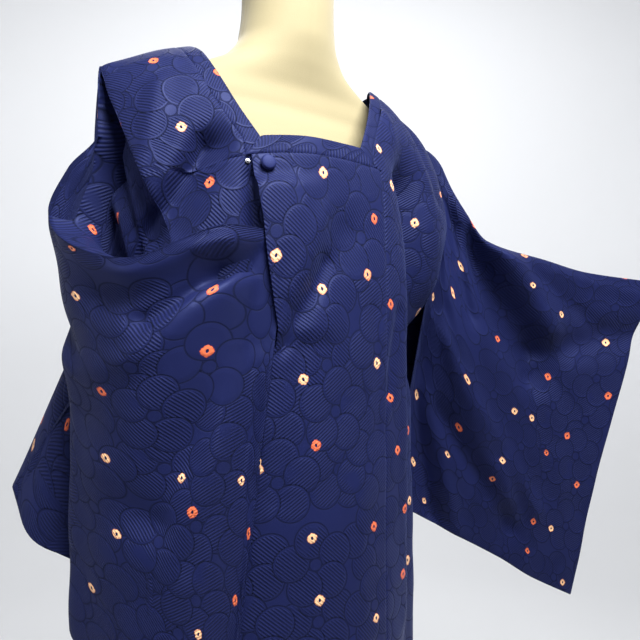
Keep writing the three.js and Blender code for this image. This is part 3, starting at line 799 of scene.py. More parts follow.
def dot_group():
    """Scattered four-cornered dots left by tie dyeing, each with a dark eye."""
    group, g, given = new_group(
        "Tied dots",
        [("Place", "Vector", None), ("Warm", "Color", None), ("Pale", "Color", None)],
        [("Mask", "Float"), ("Colour", "Color"), ("Height", "Float")],
    )
    local, chance = g.cells(given["Place"], 1 / DOT_CELL, DOT_SCATTER)
    own = g.rotate(local, g.math("MULTIPLY_ADD", chance["Red"], 0.7, -0.35))
    axes = g.axes(own)
    across = g.math("POWER", g.math("ABSOLUTE", axes["X"]), 1.5)
    along = g.math("POWER", g.math("ABSOLUTE", axes["Y"]), 1.5)
    reach = g.math("POWER", g.math("ADD", across, along), 1 / 1.5)
    frayed = g.math("MULTIPLY_ADD", g.noise(given["Place"], 420.0, 2.0, "2D"), 0.0022, -0.0011)
    size = g.math("MULTIPLY_ADD", chance["Green"], 0.0012, DOT)
    inside = g.math("SUBTRACT", size, g.math("ADD", reach, frayed))
    eye_reach = g.vector("LENGTH", g.vector("MULTIPLY", own, (1.25, 0.85, 1)), output="Value")
    in_eye = g.ramp(eye_reach, DOT_EYE, DOT_EYE * 1.5, 1.0, 0.0)
    mask = g.math("MULTIPLY", g.ramp(inside, 0.0, 0.0004), g.math("SUBTRACT", 1.0, in_eye))
    hue = g.ramp(chance["Blue"], 0.42, 0.62)
    colour = g.blend(hue, given["Warm"], given["Pale"])
    rim = g.ramp(inside, 0.0002, 0.0014, 1.0, 0.0)
    stain = g.noise(given["Place"], 700.0, 1.0, "2D")
    colour = g.blend(g.math("MULTIPLY", rim, 0.8), colour, (0.22, 0.02, 0.012, 1))
    colour = g.blend(g.math("MULTIPLY", stain, 0.25), colour, given["Warm"])
    bulge = g.math("MULTIPLY", g.ramp(inside, 0.0, 0.003), g.math("SUBTRACT", 1.0, in_eye))
    close_group(g, Mask=mask, Colour=colour, Height=bulge)
    return group


# Where each layer of blossoms is set on the cloth, in metres.
BLOSSOM_CELL = 0.118
BLOSSOM_SHIFTS = ((0.0, 0.0, 0), (0.059, 0.062, 0), (0.064, -0.006, 0), (-0.003, 0.055, 0))


def silk_group(settings):
    """The figured silk: layers of woven blossoms with ribbed petals, and tied dots on top."""
    group, g, given = new_group(
        "Figured silk",
        [("Place", "Vector", None), ("Ground", "Color", None)],
        [("Colour", "Color"), ("Height", "Float"), ("Gloss", "Float")],
    )
    layer = blossom_group()
    line, rib, ribbed, puff, bare = 0.0, 0.0, 0.0, 0.0, 1.0
    for shift in BLOSSOM_SHIFTS:
        inputs = {"Place": given["Place"], "Shift": shift, "Cell": BLOSSOM_CELL}
        node = g.node("ShaderNodeGroup", node_tree=layer)
        for name, value in inputs.items():
            g.feed(node.inputs[name], value)
        line = g.math("MAXIMUM", line, g.math("MULTIPLY", node.outputs["Line"], bare))
        rib = g.math("MULTIPLY_ADD", node.outputs["Rib"], bare, rib)
        ribbed = g.math("MULTIPLY_ADD", node.outputs["Ribbed"], bare, ribbed)
        puff = g.math("MULTIPLY_ADD", node.outputs["Puff"], bare, puff)
        bare = g.math("MULTIPLY", bare, g.math("SUBTRACT", 1.0, node.outputs["Cover"]))
    dots = g.node("ShaderNodeGroup", node_tree=dot_group())
    g.feed(dots.inputs["Place"], given["Place"])
    g.feed(dots.inputs["Warm"], (*settings.warm_dot, 1))
    g.feed(dots.inputs["Pale"], (*settings.pale_dot, 1))
    thread = g.noise(given["Place"], 900.0, 2.0, "2D")
    cloud = g.noise(given["Place"], 9.0, 2.0, "2D")
    # Painted shade: the blossom outlines, real lines of the weave, are painted darker for the shade in their
    # grooves.
    shade = g.math("MULTIPLY_ADD", line, -0.62, 1.0)
    # Painted shade and painted highlight: the grooves between the ribs are painted darker and the rib crests
    # lighter, for the relief's light and shade.
    painted_groove_shade = g.math("SUBTRACT", ribbed, rib)
    shade = g.math("MULTIPLY_ADD", painted_groove_shade, -0.50, shade)
    shade = g.math("MULTIPLY_ADD", rib, 0.26, shade)
    shade = g.math("MULTIPLY", shade, g.math("MULTIPLY_ADD", thread, 0.16, 0.92))
    shade = g.math("MULTIPLY", shade, g.math("MULTIPLY_ADD", cloud, 0.14, 0.93))
    silk = g.scale(given["Ground"], shade)
    colour = g.blend(dots.outputs["Mask"], silk, dots.outputs["Colour"])
    height = g.math("MULTIPLY_ADD", line, -0.35, g.math("MULTIPLY", rib, 0.9))
    height = g.math("MULTIPLY_ADD", ribbed, -0.35, height)
    height = g.math("MULTIPLY_ADD", puff, 0.75, height)
    height = g.math("MULTIPLY_ADD", dots.outputs["Height"], 1.1, height)
    height = g.math("MULTIPLY_ADD", thread, 0.12, height)
    gloss = g.math("MULTIPLY_ADD", ribbed, 0.08, g.math("MULTIPLY_ADD", line, 0.25, 0.52))
    close_group(g, Colour=colour, Height=height, Gloss=gloss)
    return group


def new_material(name, colour):
    """A material with its shader, and its graph. The colour is what plain viewers show."""
    material = bpy.data.materials.new(name)
    material.use_nodes = True
    material.node_tree.nodes.clear()
    material.diffuse_color = (*colour, 1)
    graph = Graph(material.node_tree)
    shader = graph.node("ShaderNodeBsdfPrincipled")
    output = graph.node("ShaderNodeOutputMaterial")
    graph.feed(output.inputs["Surface"], shader.outputs["BSDF"])
    return material, graph, shader


WEAVE_RELIEF = 0.00045


def silk_material(settings):
    found = bpy.data.materials.get("Navy silk")
    if found:
        return found
    material, g, shader = new_material("Navy silk", settings.silk)
    place = g.node("ShaderNodeUVMap", uv_map="Cloth").outputs["UV"]
    silk = g.node("ShaderNodeGroup", node_tree=silk_group(settings))
    g.feed(silk.inputs["Place"], place)
    g.feed(silk.inputs["Ground"], (*settings.silk, 1))
    g.feed(shader.inputs["Base Color"], silk.outputs["Colour"])
    g.feed(shader.inputs["Roughness"], silk.outputs["Gloss"])
    g.feed(shader.inputs["Normal"], g.bump(silk.outputs["Height"], WEAVE_RELIEF, 1.0))
    shader.inputs["Specular IOR Level"].default_value = 0.22
    shader.inputs["Specular Tint"].default_value = (0.38, 0.47, 1.0, 1)
    shader.inputs["Sheen Weight"].default_value = 0.06
    shader.inputs["Sheen Roughness"].default_value = 0.4
    shader.inputs["Sheen Tint"].default_value = (0.3, 0.4, 1.0, 1)
    return material


def plain_silk_material(settings):
    """The silk without its figure, for what is covered with a scrap of it."""
    # Painted light: the plain silk is 1.3 times lighter than the silk ground, so the button reads as lit
    # cloth.
    lit = tuple(1.3 * value for value in settings.silk)
    material, g, shader = new_material("Plain silk", lit)
    thread = g.noise(g.node("ShaderNodeTexCoord").outputs["Object"], 900.0, 2.0)
    colour = g.scale(lit, g.math("MULTIPLY_ADD", thread, 0.3, 0.85))
    g.feed(shader.inputs["Base Color"], colour)
    shader.inputs["Roughness"].default_value = 0.6
    shader.inputs["Specular IOR Level"].default_value = 0.3
    shader.inputs["Specular Tint"].default_value = (0.38, 0.47, 1.0, 1)
    return material


def jersey_material(settings):
    """Cream jersey drawn over the dress form, with fine knit ribs."""
    material, g, shader = new_material("Cream jersey", settings.cover)
    place = g.node("ShaderNodeTexCoord").outputs["Object"]
    stretched = g.vector("MULTIPLY", place, (1, 1, 0.55))
    knit = g.noise(stretched, 1500.0, 1.0)
    soft = g.noise(place, 14.0, 2.0)
    tint = g.math("MULTIPLY_ADD", knit, 0.10, g.math("MULTIPLY_ADD", soft, 0.10, 0.90))
    colour = g.scale(settings.cover, tint)
    g.feed(shader.inputs["Base Color"], colour)
    g.feed(shader.inputs["Normal"], g.bump(knit, 0.00025, 0.6))
    shader.inputs["Roughness"].default_value = 0.78
    shader.inputs["Sheen Weight"].default_value = 0.2
    return material


def steel_material(name, tint, roughness):
    """Metal with fine marks of turning around its axis."""
    material, g, shader = new_material(name, tint)
    place = g.node("ShaderNodeTexCoord").outputs["Object"]
    marks = g.noise(g.vector("MULTIPLY", place, (40, 40, 1600)), 1.0, 2.0)
    smudge = g.noise(place, 30.0, 3.0)
    rough = g.math("MULTIPLY_ADD", marks, 0.16, g.math("MULTIPLY_ADD", smudge, 0.12, roughness - 0.14))
    colour = g.scale(tint, g.math("MULTIPLY_ADD", marks, 0.12, 0.92))
    g.feed(shader.inputs["Base Color"], colour)
    g.feed(shader.inputs["Roughness"], rough)
    g.feed(shader.inputs["Normal"], g.bump(marks, 0.00008, 0.5))
    shader.inputs["Metallic"].default_value = 1.0
    return material


def wood_material(settings):
    """Varnished wood with long grain across the round base."""
    material, g, shader = new_material("Varnished wood", settings.wood)
    place = g.node("ShaderNodeTexCoord").outputs["Object"]
    bends = g.scale(g.noise(place, 3.0, 2.0, output="Color"), 0.03)
    bent = g.vector("ADD", place, bends)
    rings = g.noise(g.vector("MULTIPLY", bent, (6, 90, 60)), 1.0, 3.0)
    pores = g.noise(g.vector("MULTIPLY", place, (60, 1400, 1400)), 1.0, 2.0)
    dark = tuple(0.45 * value for value in settings.wood)
    colour = g.blend(g.ramp(rings, 0.35, 0.68), (*settings.wood, 1), (*dark, 1))
    colour = g.blend(g.ramp(pores, 0.55, 0.75, 0.0, 0.5), colour, (*dark, 1))
    g.feed(shader.inputs["Base Color"], colour)
    g.feed(shader.inputs["Roughness"], g.math("MULTIPLY_ADD", rings, 0.15, 0.28))
    g.feed(shader.inputs["Normal"], g.bump(pores, 0.0001, 0.4))
    return material


def moved(uv, across, along):
    """Cloth places set off by whole strips, so that the pattern doesn't run on over a seam."""
    return uv + np.array([across, along])


def finish_cloth(node):
    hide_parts(node)


def body_rows():
    """Rows of a body panel, from the back hem over the shoulder to the front hem."""
    low = HEM_BACK + EDGE_ROWS
    back = np.linspace(HEM_BACK + 9, NECK_BACK_LOW, 150)
    angles = np.linspace(90, 0, 44) * DEGREE
    neck, _ = neck_back_place(1, angles[1:], STRIP_EDGE)
    front = np.linspace(GAP / 2, PANEL_TOP, 44)[1:]
    below = np.linspace(PANEL_TOP + NOTCH, HEM_FRONT - 9, 172)
    high = HEM_FRONT - EDGE_ROWS[::-1]
    return np.concatenate([low, back, neck, front, below, high])


def build_body_panel(name, side, settings):
    rows = body_rows()[:, None]
    part = shares(240, 4.2)
    inner = turn_at(rows, body_inner(side, rows))
    turn = mix(inner, body_outer_turn(side, rows), part)
    along = np.broadcast_to(rows, turn.shape)
    bare, _ = torso(along, turn)
    dip = edge_roll(bare, left=SEAM_DIP, right=SEAM_DIP, low=EDGE_DIP, high=EDGE_DIP)
    relief = settings.crease * folds(BODY_CREASES, along, across_at(along, turn))
    relief = relief + ripple(along, turn * 3.0, settings.ripple)
    points, normals = torso(along, turn, relief - dip)
    uv = moved(torso_uv(along, turn, bare), 40 * side, 700 * (side + 1))
    piece = cloth_piece(name, points, normals, uv, settings)
    finish_cloth(name)


def build_front_band_left(settings):
    rows = np.concatenate([steps(PANEL_TOP + NOTCH, 380, 3.2), np.linspace(384, HEM_FRONT - 9, 128)])
    rows = np.concatenate([rows, HEM_FRONT - EDGE_ROWS[::-1]])[:, None]
    free = turn_at(rows, read(OVERLAP_EDGE, rows, "across"))
    turn = mix(free, turn_at(rows, BAND_SEAM_LEFT - GAP), shares(160, 3.6))
    along = np.broadcast_to(rows, turn.shape)
    across = across_at(along, turn)
    out = overlap_out(along, across)
    bare, _ = torso(along, turn, out)
    dip = edge_roll(bare, left=EDGE_DIP, right=SEAM_DIP, low=SEAM_DIP, high=EDGE_DIP)
    relief = settings.crease * folds(BAND_CREASES, along, across) + ripple(along, across, settings.ripple)
    relief = relief * smooth(0, 12, arc_lengths(bare, 1))
    points, normals = torso(along, turn, out + relief - dip)
    uv = moved(np.stack([across, -along], axis=-1), 530, 300)
    piece = cloth_piece("front_band_left", points, normals, uv, settings)
    finish_cloth("front_band_left")


def build_front_band_right(settings):
    rows = steps(PANEL_TOP + NOTCH, HEM_FRONT, 6.0)[:, None]
    across = mix(BAND_SEAM_RIGHT + GAP, UNDER_BAND_EDGE, shares(130, 6.0))
    across = np.broadcast_to(across, (len(rows), across.size))
    along = np.broadcast_to(rows, across.shape)
    sink = UNDER_SINK * smooth(BAND_SEAM_RIGHT, BAND_SEAM_RIGHT + 44, across)
    bare, _ = torso(along, turn_at(along, across), -sink)
    dip = edge_roll(bare, left=SEAM_DIP, right=EDGE_DIP, low=SEAM_DIP, high=EDGE_DIP)
    points, normals = torso(along, turn_at(along, across), -sink - dip)
    uv = moved(np.stack([across, -along], axis=-1), 910, 120)
    piece = cloth_piece("front_band_right", points, normals, uv, settings)
    finish_cloth("front_band_right")


def build_neck_strip(name, along, across, out, settings):
    """A strip of the neck band, from its neck edge (first column) to its seam (last column)."""
    turn = turn_at(along, across)
    bare, _ = torso(along, turn, out)
    dip = edge_roll(bare, left=0.7, right=SEAM_DIP, low=SEAM_DIP, high=SEAM_DIP)
    points, normals = torso(along, turn, out - dip)
    uv = moved(np.stack([arc_lengths(bare, 1), arc_lengths(bare, 0)], axis=-1), 1300 + along[0, 0], 40)
    piece = cloth_piece(name, points, normals, uv, settings)
    finish_cloth(name)


def build_neck_sides(settings):
    part = shares(NECK_STRIP, 1.8)[None, :]
    for name, side in (("neck_band_right", -1), ("neck_band_left", 1)):
        end = NECK_FRONT + NECK_STRIP * part - GAP
        along = mix(GAP / 2, end, (steps(0, 150, 3.0) / 150)[:, None])
        across = neck_across(side, along) + side * NECK_STRIP * part
        build_neck_strip(name, along, across, 0.0, settings)


def build_neck_back(settings):
    part = shares(NECK_STRIP, 1.8)[None, :]
    angle = np.linspace(-90, 90, 121)[:, None] * DEGREE
    side = np.where(angle < 0, -1, 1)
    half = np.where(angle < 0, NECK_HALF_RIGHT, NECK_HALF_LEFT)
    turned = math.pi / 2 - np.abs(angle)
    edge = NECK_STRIP * part
    along = -((NECK_BACK_DROP + edge) * np.sin(turned) ** (2 / NECK_ROUND) + GAP / 2)
    across = side * (half + edge) * np.cos(turned) ** (2 / NECK_ROUND)
    build_neck_strip("neck_band_back", along, across, 0.0, settings)


def build_neck_levels(settings):
    part = shares(NECK_STRIP, 1.8)[None, :]
    along_part = (steps(0, 120, 3.0) / 120)[:, None]
    along = NECK_FRONT + NECK_STRIP * part + 0 * along_part
    mitre = neck_across(1, NECK_FRONT) + NECK_STRIP * part - GAP
    across = mix(neck_across(-1, NECK_FRONT) - NECK_STRIP * part + GAP, mitre, along_part)
    build_neck_strip("neck_band_front_left", along, across, overlap_out(along, across), settings)
    mitre = neck_across(-1, NECK_FRONT) - NECK_STRIP * part + GAP
    across = mix(mitre, -60.0, along_part)
    build_neck_strip("neck_band_front_right", along, across, 0.0, settings)


def sleeve_downs():
    """Rows of a sleeve, from the back layer's hem over the top fold to the front layer's."""
    top = np.array([0, 0.3, 0.8, 1.6, 2.8, 4.4, 6.4, 9.0, 12.0, 15.5])
    middle = np.linspace(19.5, SLEEVE_HEIGHT - 6, 122)
    end = SLEEVE_HEIGHT - np.array([2.8, 1.2, 0])
    half = np.concatenate([top, middle, end])
    return np.concatenate([-half[:0:-1], half])


def build_sleeve(name, side, shape, creases, under_creases, settings):
    along = shares(SLEEVE_WIDTH, 3.9) * SLEEVE_WIDTH
    down, along = np.broadcast_arrays(sleeve_downs()[:, None], along)
    reach = np.abs(down)
    shown = folds(creases, along, reach)
    under = folds(under_creases, along, reach)
    if side < 0:
        under = under * smooth(HIDDEN_CREASES_END, HIDDEN_CREASES_FULL, reach)
    relief = settings.crease * np.where(side * down < 0, shown, under)
    relief = relief + ripple(along + 70 * side, down, 1.6 * settings.ripple)
    relief = relief * smooth(0, 60, along)
    points = shape(along, down, relief)
    normals = face_normals(points)
    outward = points - points[len(points) // 2 - 40:len(points) // 2 + 41].mean(axis=(0, 1))
    normals = normals * np.sign((normals * outward).sum(axis=-1).mean())
    dip = edge_roll(points, right=EDGE_DIP, low=EDGE_DIP, high=EDGE_DIP)
    points = points - normals * dip[..., None]
    uv = moved(np.stack([along, -down], axis=-1), 1900 + 600 * side, 1500)
    piece = cloth_piece(name, points, normals, uv, settings)
    finish_cloth(name)


def lathe(name, profile, sides, material):
    """A closed round piece from a profile of (radius, height), as deep as it has points."""
    profile = np.array(profile, float)
    angles = np.linspace(0, 2 * np.pi, sides, endpoint=False)
    ring = np.stack([np.cos(angles), np.sin(angles)], axis=-1)
    inner = profile[1:-1]
    points = np.concatenate(
        [
            np.broadcast_to(inner[:, None, :1], (len(inner), sides, 1)) * ring,
            np.broadcast_to(inner[:, None, 1:], (len(inner), sides, 1)),
        ],
        axis=-1,
    ).reshape(-1, 3)
    poles = np.array([[0, 0, profile[0, 1]], [0, 0, profile[-1, 1]]])
    vertices = np.concatenate([points, poles])
    side = np.arange(sides)
    after = (side + 1) % sides
    faces = []
    for ring_at in range(len(inner) - 1):
        low = ring_at * sides
        high = low + sides
        faces += np.stack([low + side, low + after, high + after, high + side], axis=1).tolist()
    bottom, top = len(points), len(points) + 1
    last = (len(inner) - 1) * sides
    faces += np.stack([np.full(sides, bottom), after, side], axis=1).tolist()
    faces += np.stack([last + side, last + after, np.full(sides, top)], axis=1).tolist()
    return mesh_piece(name, vertices, faces, material)


def arc(middle, radius, start, end, count=8):
    """Points of a round edge, with angles in degrees from the outward direction."""
    angles = np.linspace(start, end, count) * DEGREE
    return [(middle[0] + radius * math.cos(a), middle[1] + radius * math.sin(a)) for a in angles]


BUTTON_PLACE = (178, -92)
BUTTON_HALF = 7.5
BUTTON_HEIGHT = 6.0
SNAP_PLACE = (173.5, -109.5)
SNAP_HALF = 2.6
SNAP_HEIGHT = 1.4


def put_on_coat(piece, place, out):
    """Moves a piece from the origin to a place on the coat's face, standing square to it."""
    along, across = place
    point, normal = torso(along, turn_at(along, across), out)
    turn = Vector((0, 0, 1)).rotation_difference(Vector(normal))
    move = Matrix.Translation(Vector(point) * MM) @ turn.to_matrix().to_4x4()
    piece.data.transform(move)
    piece.data.update()


def build_button(settings):
    """A button covered with the same silk: a low dome with its cloth gathered under the rim."""
    h, r = BUTTON_HEIGHT, BUTTON_HALF
    profile = [(0, 0), (r * 0.55, 0), (r * 0.72, 0.1), (r * 0.86, 0.5)]
    profile += arc((r * 0.82, h * 0.45), r * 0.18, -70, 60, 9)
    dome = np.linspace(0, 1, 12)[1:]
    profile += [(r * 0.9 * (1 - t**1.6), h * (0.78 + 0.22 * math.sin(t * math.pi / 2))) for t in dome]
    piece = lathe("button", profile, 72, plain_silk_material(settings))
    mesh = piece.data
    for vertex in mesh.vertices:
        angle = math.atan2(vertex.co.y, vertex.co.x)
        rim = math.exp(-((vertex.co.z / MM / h - 0.25) / 0.2) ** 2)
        pucker = 1 + 0.018 * rim * math.sin(18 * angle)
        vertex.co.x *= pucker
        vertex.co.y *= pucker
    out = float(overlap_out(np.array(BUTTON_PLACE[0]), np.array(BUTTON_PLACE[1])))
    put_on_coat(piece, BUTTON_PLACE, out + 0.8)
    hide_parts("button")


def build_snap(settings):
    """The press stud's small steel half, sewn to the right front."""
    h, r = SNAP_HEIGHT, SNAP_HALF
    profile = [(0, 0), (r - 0.3, 0)] + arc((r - 0.3, 0.35), 0.3, -60, 80, 6)
    profile += [(r * 0.62, 0.62), (r * 0.5, 0.7), (r * 0.42, h - 0.35)]
    profile += arc((r * 0.30, h - 0.35), 0.35, 10, 90, 5) + [(0, h)]
    # Painted shade: the stud's steel is painted near black, for the shadow under the left front's edge where
    # it sits.
    piece = lathe("snap", profile, 48, steel_material("Steel darkened as shade", settings.steel, 0.24))
    put_on_coat(piece, SNAP_PLACE, 0.4)
    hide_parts("snap")


FORM_LOW = 640
FORM_HIGH = 1428
FORM_NECK = 53
FORM_CAP = 12
SEAM_ANGLES = (0, math.pi / 2, math.pi, -math.pi / 2)


def build_form(settings):
    """The padded body of the dress form, with soft seams down its front, back and sides."""
    heights = np.linspace(FORM_LOW, FORM_HIGH, 230)
    angles = np.linspace(0, 2 * np.pi, 144, endpoint=False)
    keys = ("half", "depth", "shift")
    half, depth, shift = (read(FORM_RINGS, heights, key)[:, None] for key in keys)
    lower = np.sqrt(np.clip((heights - 636) / 10, 0, 1))[:, None]
    seam_shapes = [np.exp(-((np.angle(np.exp(1j * (angles - at))) * 95 / 1.6) ** 2)) for at in SEAM_ANGLES]
    groove = 1 - 0.009 * sum(seam_shapes)[None, :]
    x = half * np.cos(angles) * groove * mix(0.985, 1, lower)
    y = shift + depth * np.sin(angles) * groove * mix(0.985, 1, lower)
    z = heights[:, None] + 0 * x
    body = np.stack([x, y, z], axis=-1)
    cap = np.linspace(0, 1, 10)[1:-1, None] * np.pi / 2
    closing = FORM_NECK * np.cos(cap)
    rising = FORM_HIGH + FORM_CAP * np.sin(cap) + 0 * angles
    neck = np.stack([closing * np.cos(angles), closing * np.sin(angles), rising], axis=-1)
    grid = np.concatenate([body, neck])
    rows, sides = grid.shape[:2]
    index = np.arange(rows * sides).reshape(rows, sides)
    after = np.roll(index, -1, axis=1)
    quads = np.stack([index[:-1], after[:-1], after[1:], index[1:]], axis=-1).reshape(-1, 4).tolist()
    bottom, top = rows * sides, rows * sides + 1
    quads += np.stack([np.full(sides, bottom), after[0], index[0]], axis=-1).tolist()
    quads += np.stack([index[-1], after[-1], np.full(sides, top)], axis=-1).tolist()
    vertices = np.concatenate([grid.reshape(-1, 3), [[0, 0, FORM_LOW], [0, 0, FORM_HIGH + FORM_CAP]]])
    piece = mesh_piece("form_torso", vertices, quads, jersey_material(settings))
    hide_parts("form_torso")


POLE_HALF = 15
COLLAR_HALF = 34
COLLAR_HEIGHT = 18
POLE_LOW = 52.3
POLE_HIGH = 639.7
BASE_HALF = 190
BASE_HEIGHT = 26
HUB_HALF = 30
HUB_HEIGHT = 52


def build_pole(settings):
    steel = steel_material("Brushed steel", settings.steel, 0.34)
    collar = POLE_HIGH - COLLAR_HEIGHT
    profile = [(0, POLE_LOW), (POLE_HALF - 1, POLE_LOW)] + arc((POLE_HALF - 1, POLE_LOW + 1), 1, -80, 0, 4)
    profile += [(POLE_HALF, height) for height in np.linspace(POLE_LOW + 8, collar - 4, 24)]
    profile += [(POLE_HALF, collar - 0.5), (POLE_HALF + 0.5, collar)]
    profile += arc((COLLAR_HALF - 3, collar + 3), 3, -90, 0, 6)
    profile += arc((COLLAR_HALF - 3, POLE_HIGH - 3), 3, 0, 90, 6)
    profile += [(0, POLE_HIGH)]
    piece = lathe("stand_pole", profile, 64, steel)
    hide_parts("stand_pole")


def build_base(settings):
    profile = [(0, 0), (BASE_HALF - 6, 0)] + arc((BASE_HALF - 6, 6), 6, -85, 0, 7)
    profile += arc((BASE_HALF - 8, BASE_HEIGHT - 8), 8, 0, 85, 9)
    profile += [(BASE_HALF - 22, BASE_HEIGHT + 0.6), (BASE_HALF - 24, BASE_HEIGHT - 0.8)]
    profile += [(BASE_HALF - 27, BASE_HEIGHT - 0.8), (BASE_HALF - 29, BASE_HEIGHT + 0.9)]
    slope = np.linspace(0, 1, 14)[1:]
    profile += [(mix(BASE_HALF - 29, HUB_HALF + 8, t), BASE_HEIGHT + 1 + 7 * t**1.6) for t in slope]
    profile += arc((HUB_HALF + 8, BASE_HEIGHT + 16), -8, 90, 20, 6)[1:]
    profile += [(HUB_HALF, HUB_HEIGHT - 6)]
    profile += arc((HUB_HALF - 4, HUB_HEIGHT - 4), 4, 0, 90, 6)
    profile += [(0, HUB_HEIGHT)]
    piece = lathe("stand_base", profile, 144, wood_material(settings))
    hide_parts("stand_base")


# The camera stands where the photograph was taken. The frame is square.
CAMERA_PLACE = (-0.423, -0.632, 0.994)
CAMERA_TURN = 36.5
FOCAL_PIXELS = 660
FRAME_PIXELS = 640
HORIZON_PIXEL = 350
SENSOR = 36.0


def add_camera():
    data = bpy.data.cameras.new("Camera")
    data.sensor_width = SENSOR
    data.lens = SENSOR * FOCAL_PIXELS / FRAME_PIXELS
    data.shift_y = (HORIZON_PIXEL - FRAME_PIXELS / 2) / FRAME_PIXELS
    data.clip_start = 0.01
    camera = bpy.data.objects.new("Camera", data)
    camera.location = CAMERA_PLACE
    camera.rotation_euler = (math.pi / 2, 0, -CAMERA_TURN * DEGREE)
    bpy.context.scene.collection.objects.link(camera)
    bpy.context.scene.camera = camera


def add_lamp(name, place, target, size, power):
    data = bpy.data.lights.new(name, "AREA")
    data.shape = "DISK"
    data.size = size
    data.energy = power
    lamp = bpy.data.objects.new(name, data)
    lamp.location = place
    lamp.rotation_euler = (Vector(target) - Vector(place)).to_track_quat("-Z", "Y").to_euler()
    lamp.visible_camera = False
    bpy.context.scene.collection.objects.link(lamp)


# The studio's round cove, in metres.
COVE_RADIUS = 3.6
COVE_BEND = 1.3
COVE_TOP = 4.2


def build_stage(settings):
    """A pale round cove with an open top, soft lamps and the camera."""
    flat = COVE_RADIUS - COVE_BEND
    turns = np.linspace(0.1, math.pi / 2, 14)
    profile = [(r, 0.0) for r in (0.3, 0.8, 1.4, 1.9, flat)]
    profile += [(flat + COVE_BEND * math.sin(a), COVE_BEND - COVE_BEND * math.cos(a)) for a in turns]
    profile += [(COVE_RADIUS, height) for height in np.linspace(COVE_BEND, COVE_TOP, 6)[1:]]
    sides = 96
    angles = np.linspace(0, 2 * np.pi, sides, endpoint=False)
    vertices = [(0, 0, 0)]
    vertices += [(r * math.cos(a), r * math.sin(a), z) for r, z in profile for a in angles]
    faces = [(0, 1 + i, 1 + (i + 1) % sides) for i in range(sides)]
    for ring in range(len(profile) - 1):
        low = 1 + ring * sides
        for i in range(sides):
            j = (i + 1) % sides
            faces.append((low + i, low + sides + i, low + sides + j, low + j))
    mesh = bpy.data.meshes.new("Cove")
    mesh.from_pydata(vertices, [], faces)
    mesh.polygons.foreach_set("use_smooth", [True] * len(mesh.polygons))
    material, g, shader = new_material("Pale wall", settings.wall)
    place = g.node("ShaderNodeTexCoord").outputs["Object"]
    shade = g.noise(place, 0.7, 2.0)
    # Painted shade: the wall and floor are painted darker towards the floor, from 0.76 at the floor to full
    # brightness at 1.7 m.
    painted_floor_shade = g.ramp(g.axes(place)["Z"], 0.0, 1.7, 0.76, 1.0)
    uneven = g.math("MULTIPLY_ADD", shade, 0.03, 0.985)
    tint = g.scale(settings.wall, g.math("MULTIPLY", painted_floor_shade, uneven))
    g.feed(shader.inputs["Base Color"], tint)
    shader.inputs["Roughness"].default_value = 0.9
    mesh.materials.append(material)
    cove = bpy.data.objects.new("Cove", mesh)
    bpy.context.scene.collection.objects.link(cove)
    world = bpy.data.worlds.new("Studio")
    world.use_nodes = True
    background = world.node_tree.nodes["Background"]
    background.inputs["Color"].default_value = (0.92, 0.95, 1.0, 1)
    background.inputs["Strength"].default_value = settings.ambient
    bpy.context.scene.world = world
    bpy.context.scene.view_settings.view_transform = "Standard"
    chest = (0.0, -0.05, 1.1)
    add_lamp("Key", (-0.10, -0.80, 2.02), chest, 0.8, settings.key)
    add_lamp("Side", (-2.0, 0.1, 1.5), (-0.2, 0, 0.9), 1.2, settings.key * 0.22)
    add_lamp("Back", (0.5, 1.7, 2.8), chest, 1.4, settings.key * 0.35)
    add_lamp("Wall", (0.9, 1.2, 3.2), (2.1, 2.9, 1.0), 1.4, settings.wall_lamp)
    add_camera()


def colour_setting(name, description, default):
    return FloatVectorProperty(
        name=name, description=description, subtype="COLOR", size=3, min=0, max=1, default=default,
    )


class CoatSettings(bpy.types.PropertyGroup):
    """Sizes and colours of the coat."""

    silk: colour_setting("Silk", "Colour of the silk ground", (0.0067, 0.0093, 0.047))
    warm_dot: colour_setting("Warm dots", "Colour of the coral dots", (0.6, 0.13, 0.05))
    pale_dot: colour_setting("Pale dots", "Colour of the cream dots", (0.75, 0.48, 0.26))
    cloth_thickness: FloatProperty(
        name="Cloth thickness", description="Thickness of the silk with its lining", unit="LENGTH",
        default=0.0009, min=0.0004, max=0.002,
    )
    crease: FloatProperty(
        name="Creases", description="How deep the small creases are", subtype="FACTOR",
        default=1.2, min=0, max=1.5,
    )
    ripple: FloatProperty(
        name="Ripples", description="Height in millimetres of the cloth's soft unevenness",
        default=1.4, min=0, max=4,
    )
    # The press stud's steel is painted near black as painted shade, for the shadow under the left front's
    # edge.
    steel: colour_setting("Press stud", "Colour of the press stud's steel", (0.11, 0.11, 0.12))


class FormSettings(bpy.types.PropertyGroup):
    """Colours of the dress form and its stand."""

    cover: colour_setting("Cover", "Colour of the jersey cover", (0.265, 0.225, 0.122))
    steel: colour_setting("Pole", "Colour of the pole's steel", (0.62, 0.63, 0.65))
    wood: colour_setting("Base", "Colour of the base's wood", (0.42, 0.24, 0.11))


class StageSettings(bpy.types.PropertyGroup):
    """Colours and lamps of the studio."""

    wall: colour_setting("Wall", "Colour of the floor and wall", (0.80, 0.81, 0.83))
    key: FloatProperty(
        name="Key lamp", description="Power of the main lamp", unit="POWER", default=57, min=0, max=500,
    )
    wall_lamp: FloatProperty(
        name="Wall lamp", description="Power of the lamp on the wall", unit="POWER",
        default=54, min=0, max=900,
    )
    ambient: FloatProperty(
        name="Sky", description="Strength of the light from all round", default=0.07, min=0, max=2,
    )


class COAT_OT_body(bpy.types.Operator):
    """Builds the two body panels, each front and back in one."""

    bl_idname = "coat.body"
    bl_label = "Body panels"

    def execute(self, context):
        settings = context.scene.coat
        build_body_panel("body_right", -1, settings)
        build_body_panel("body_left", 1, settings)
        return {"FINISHED"}


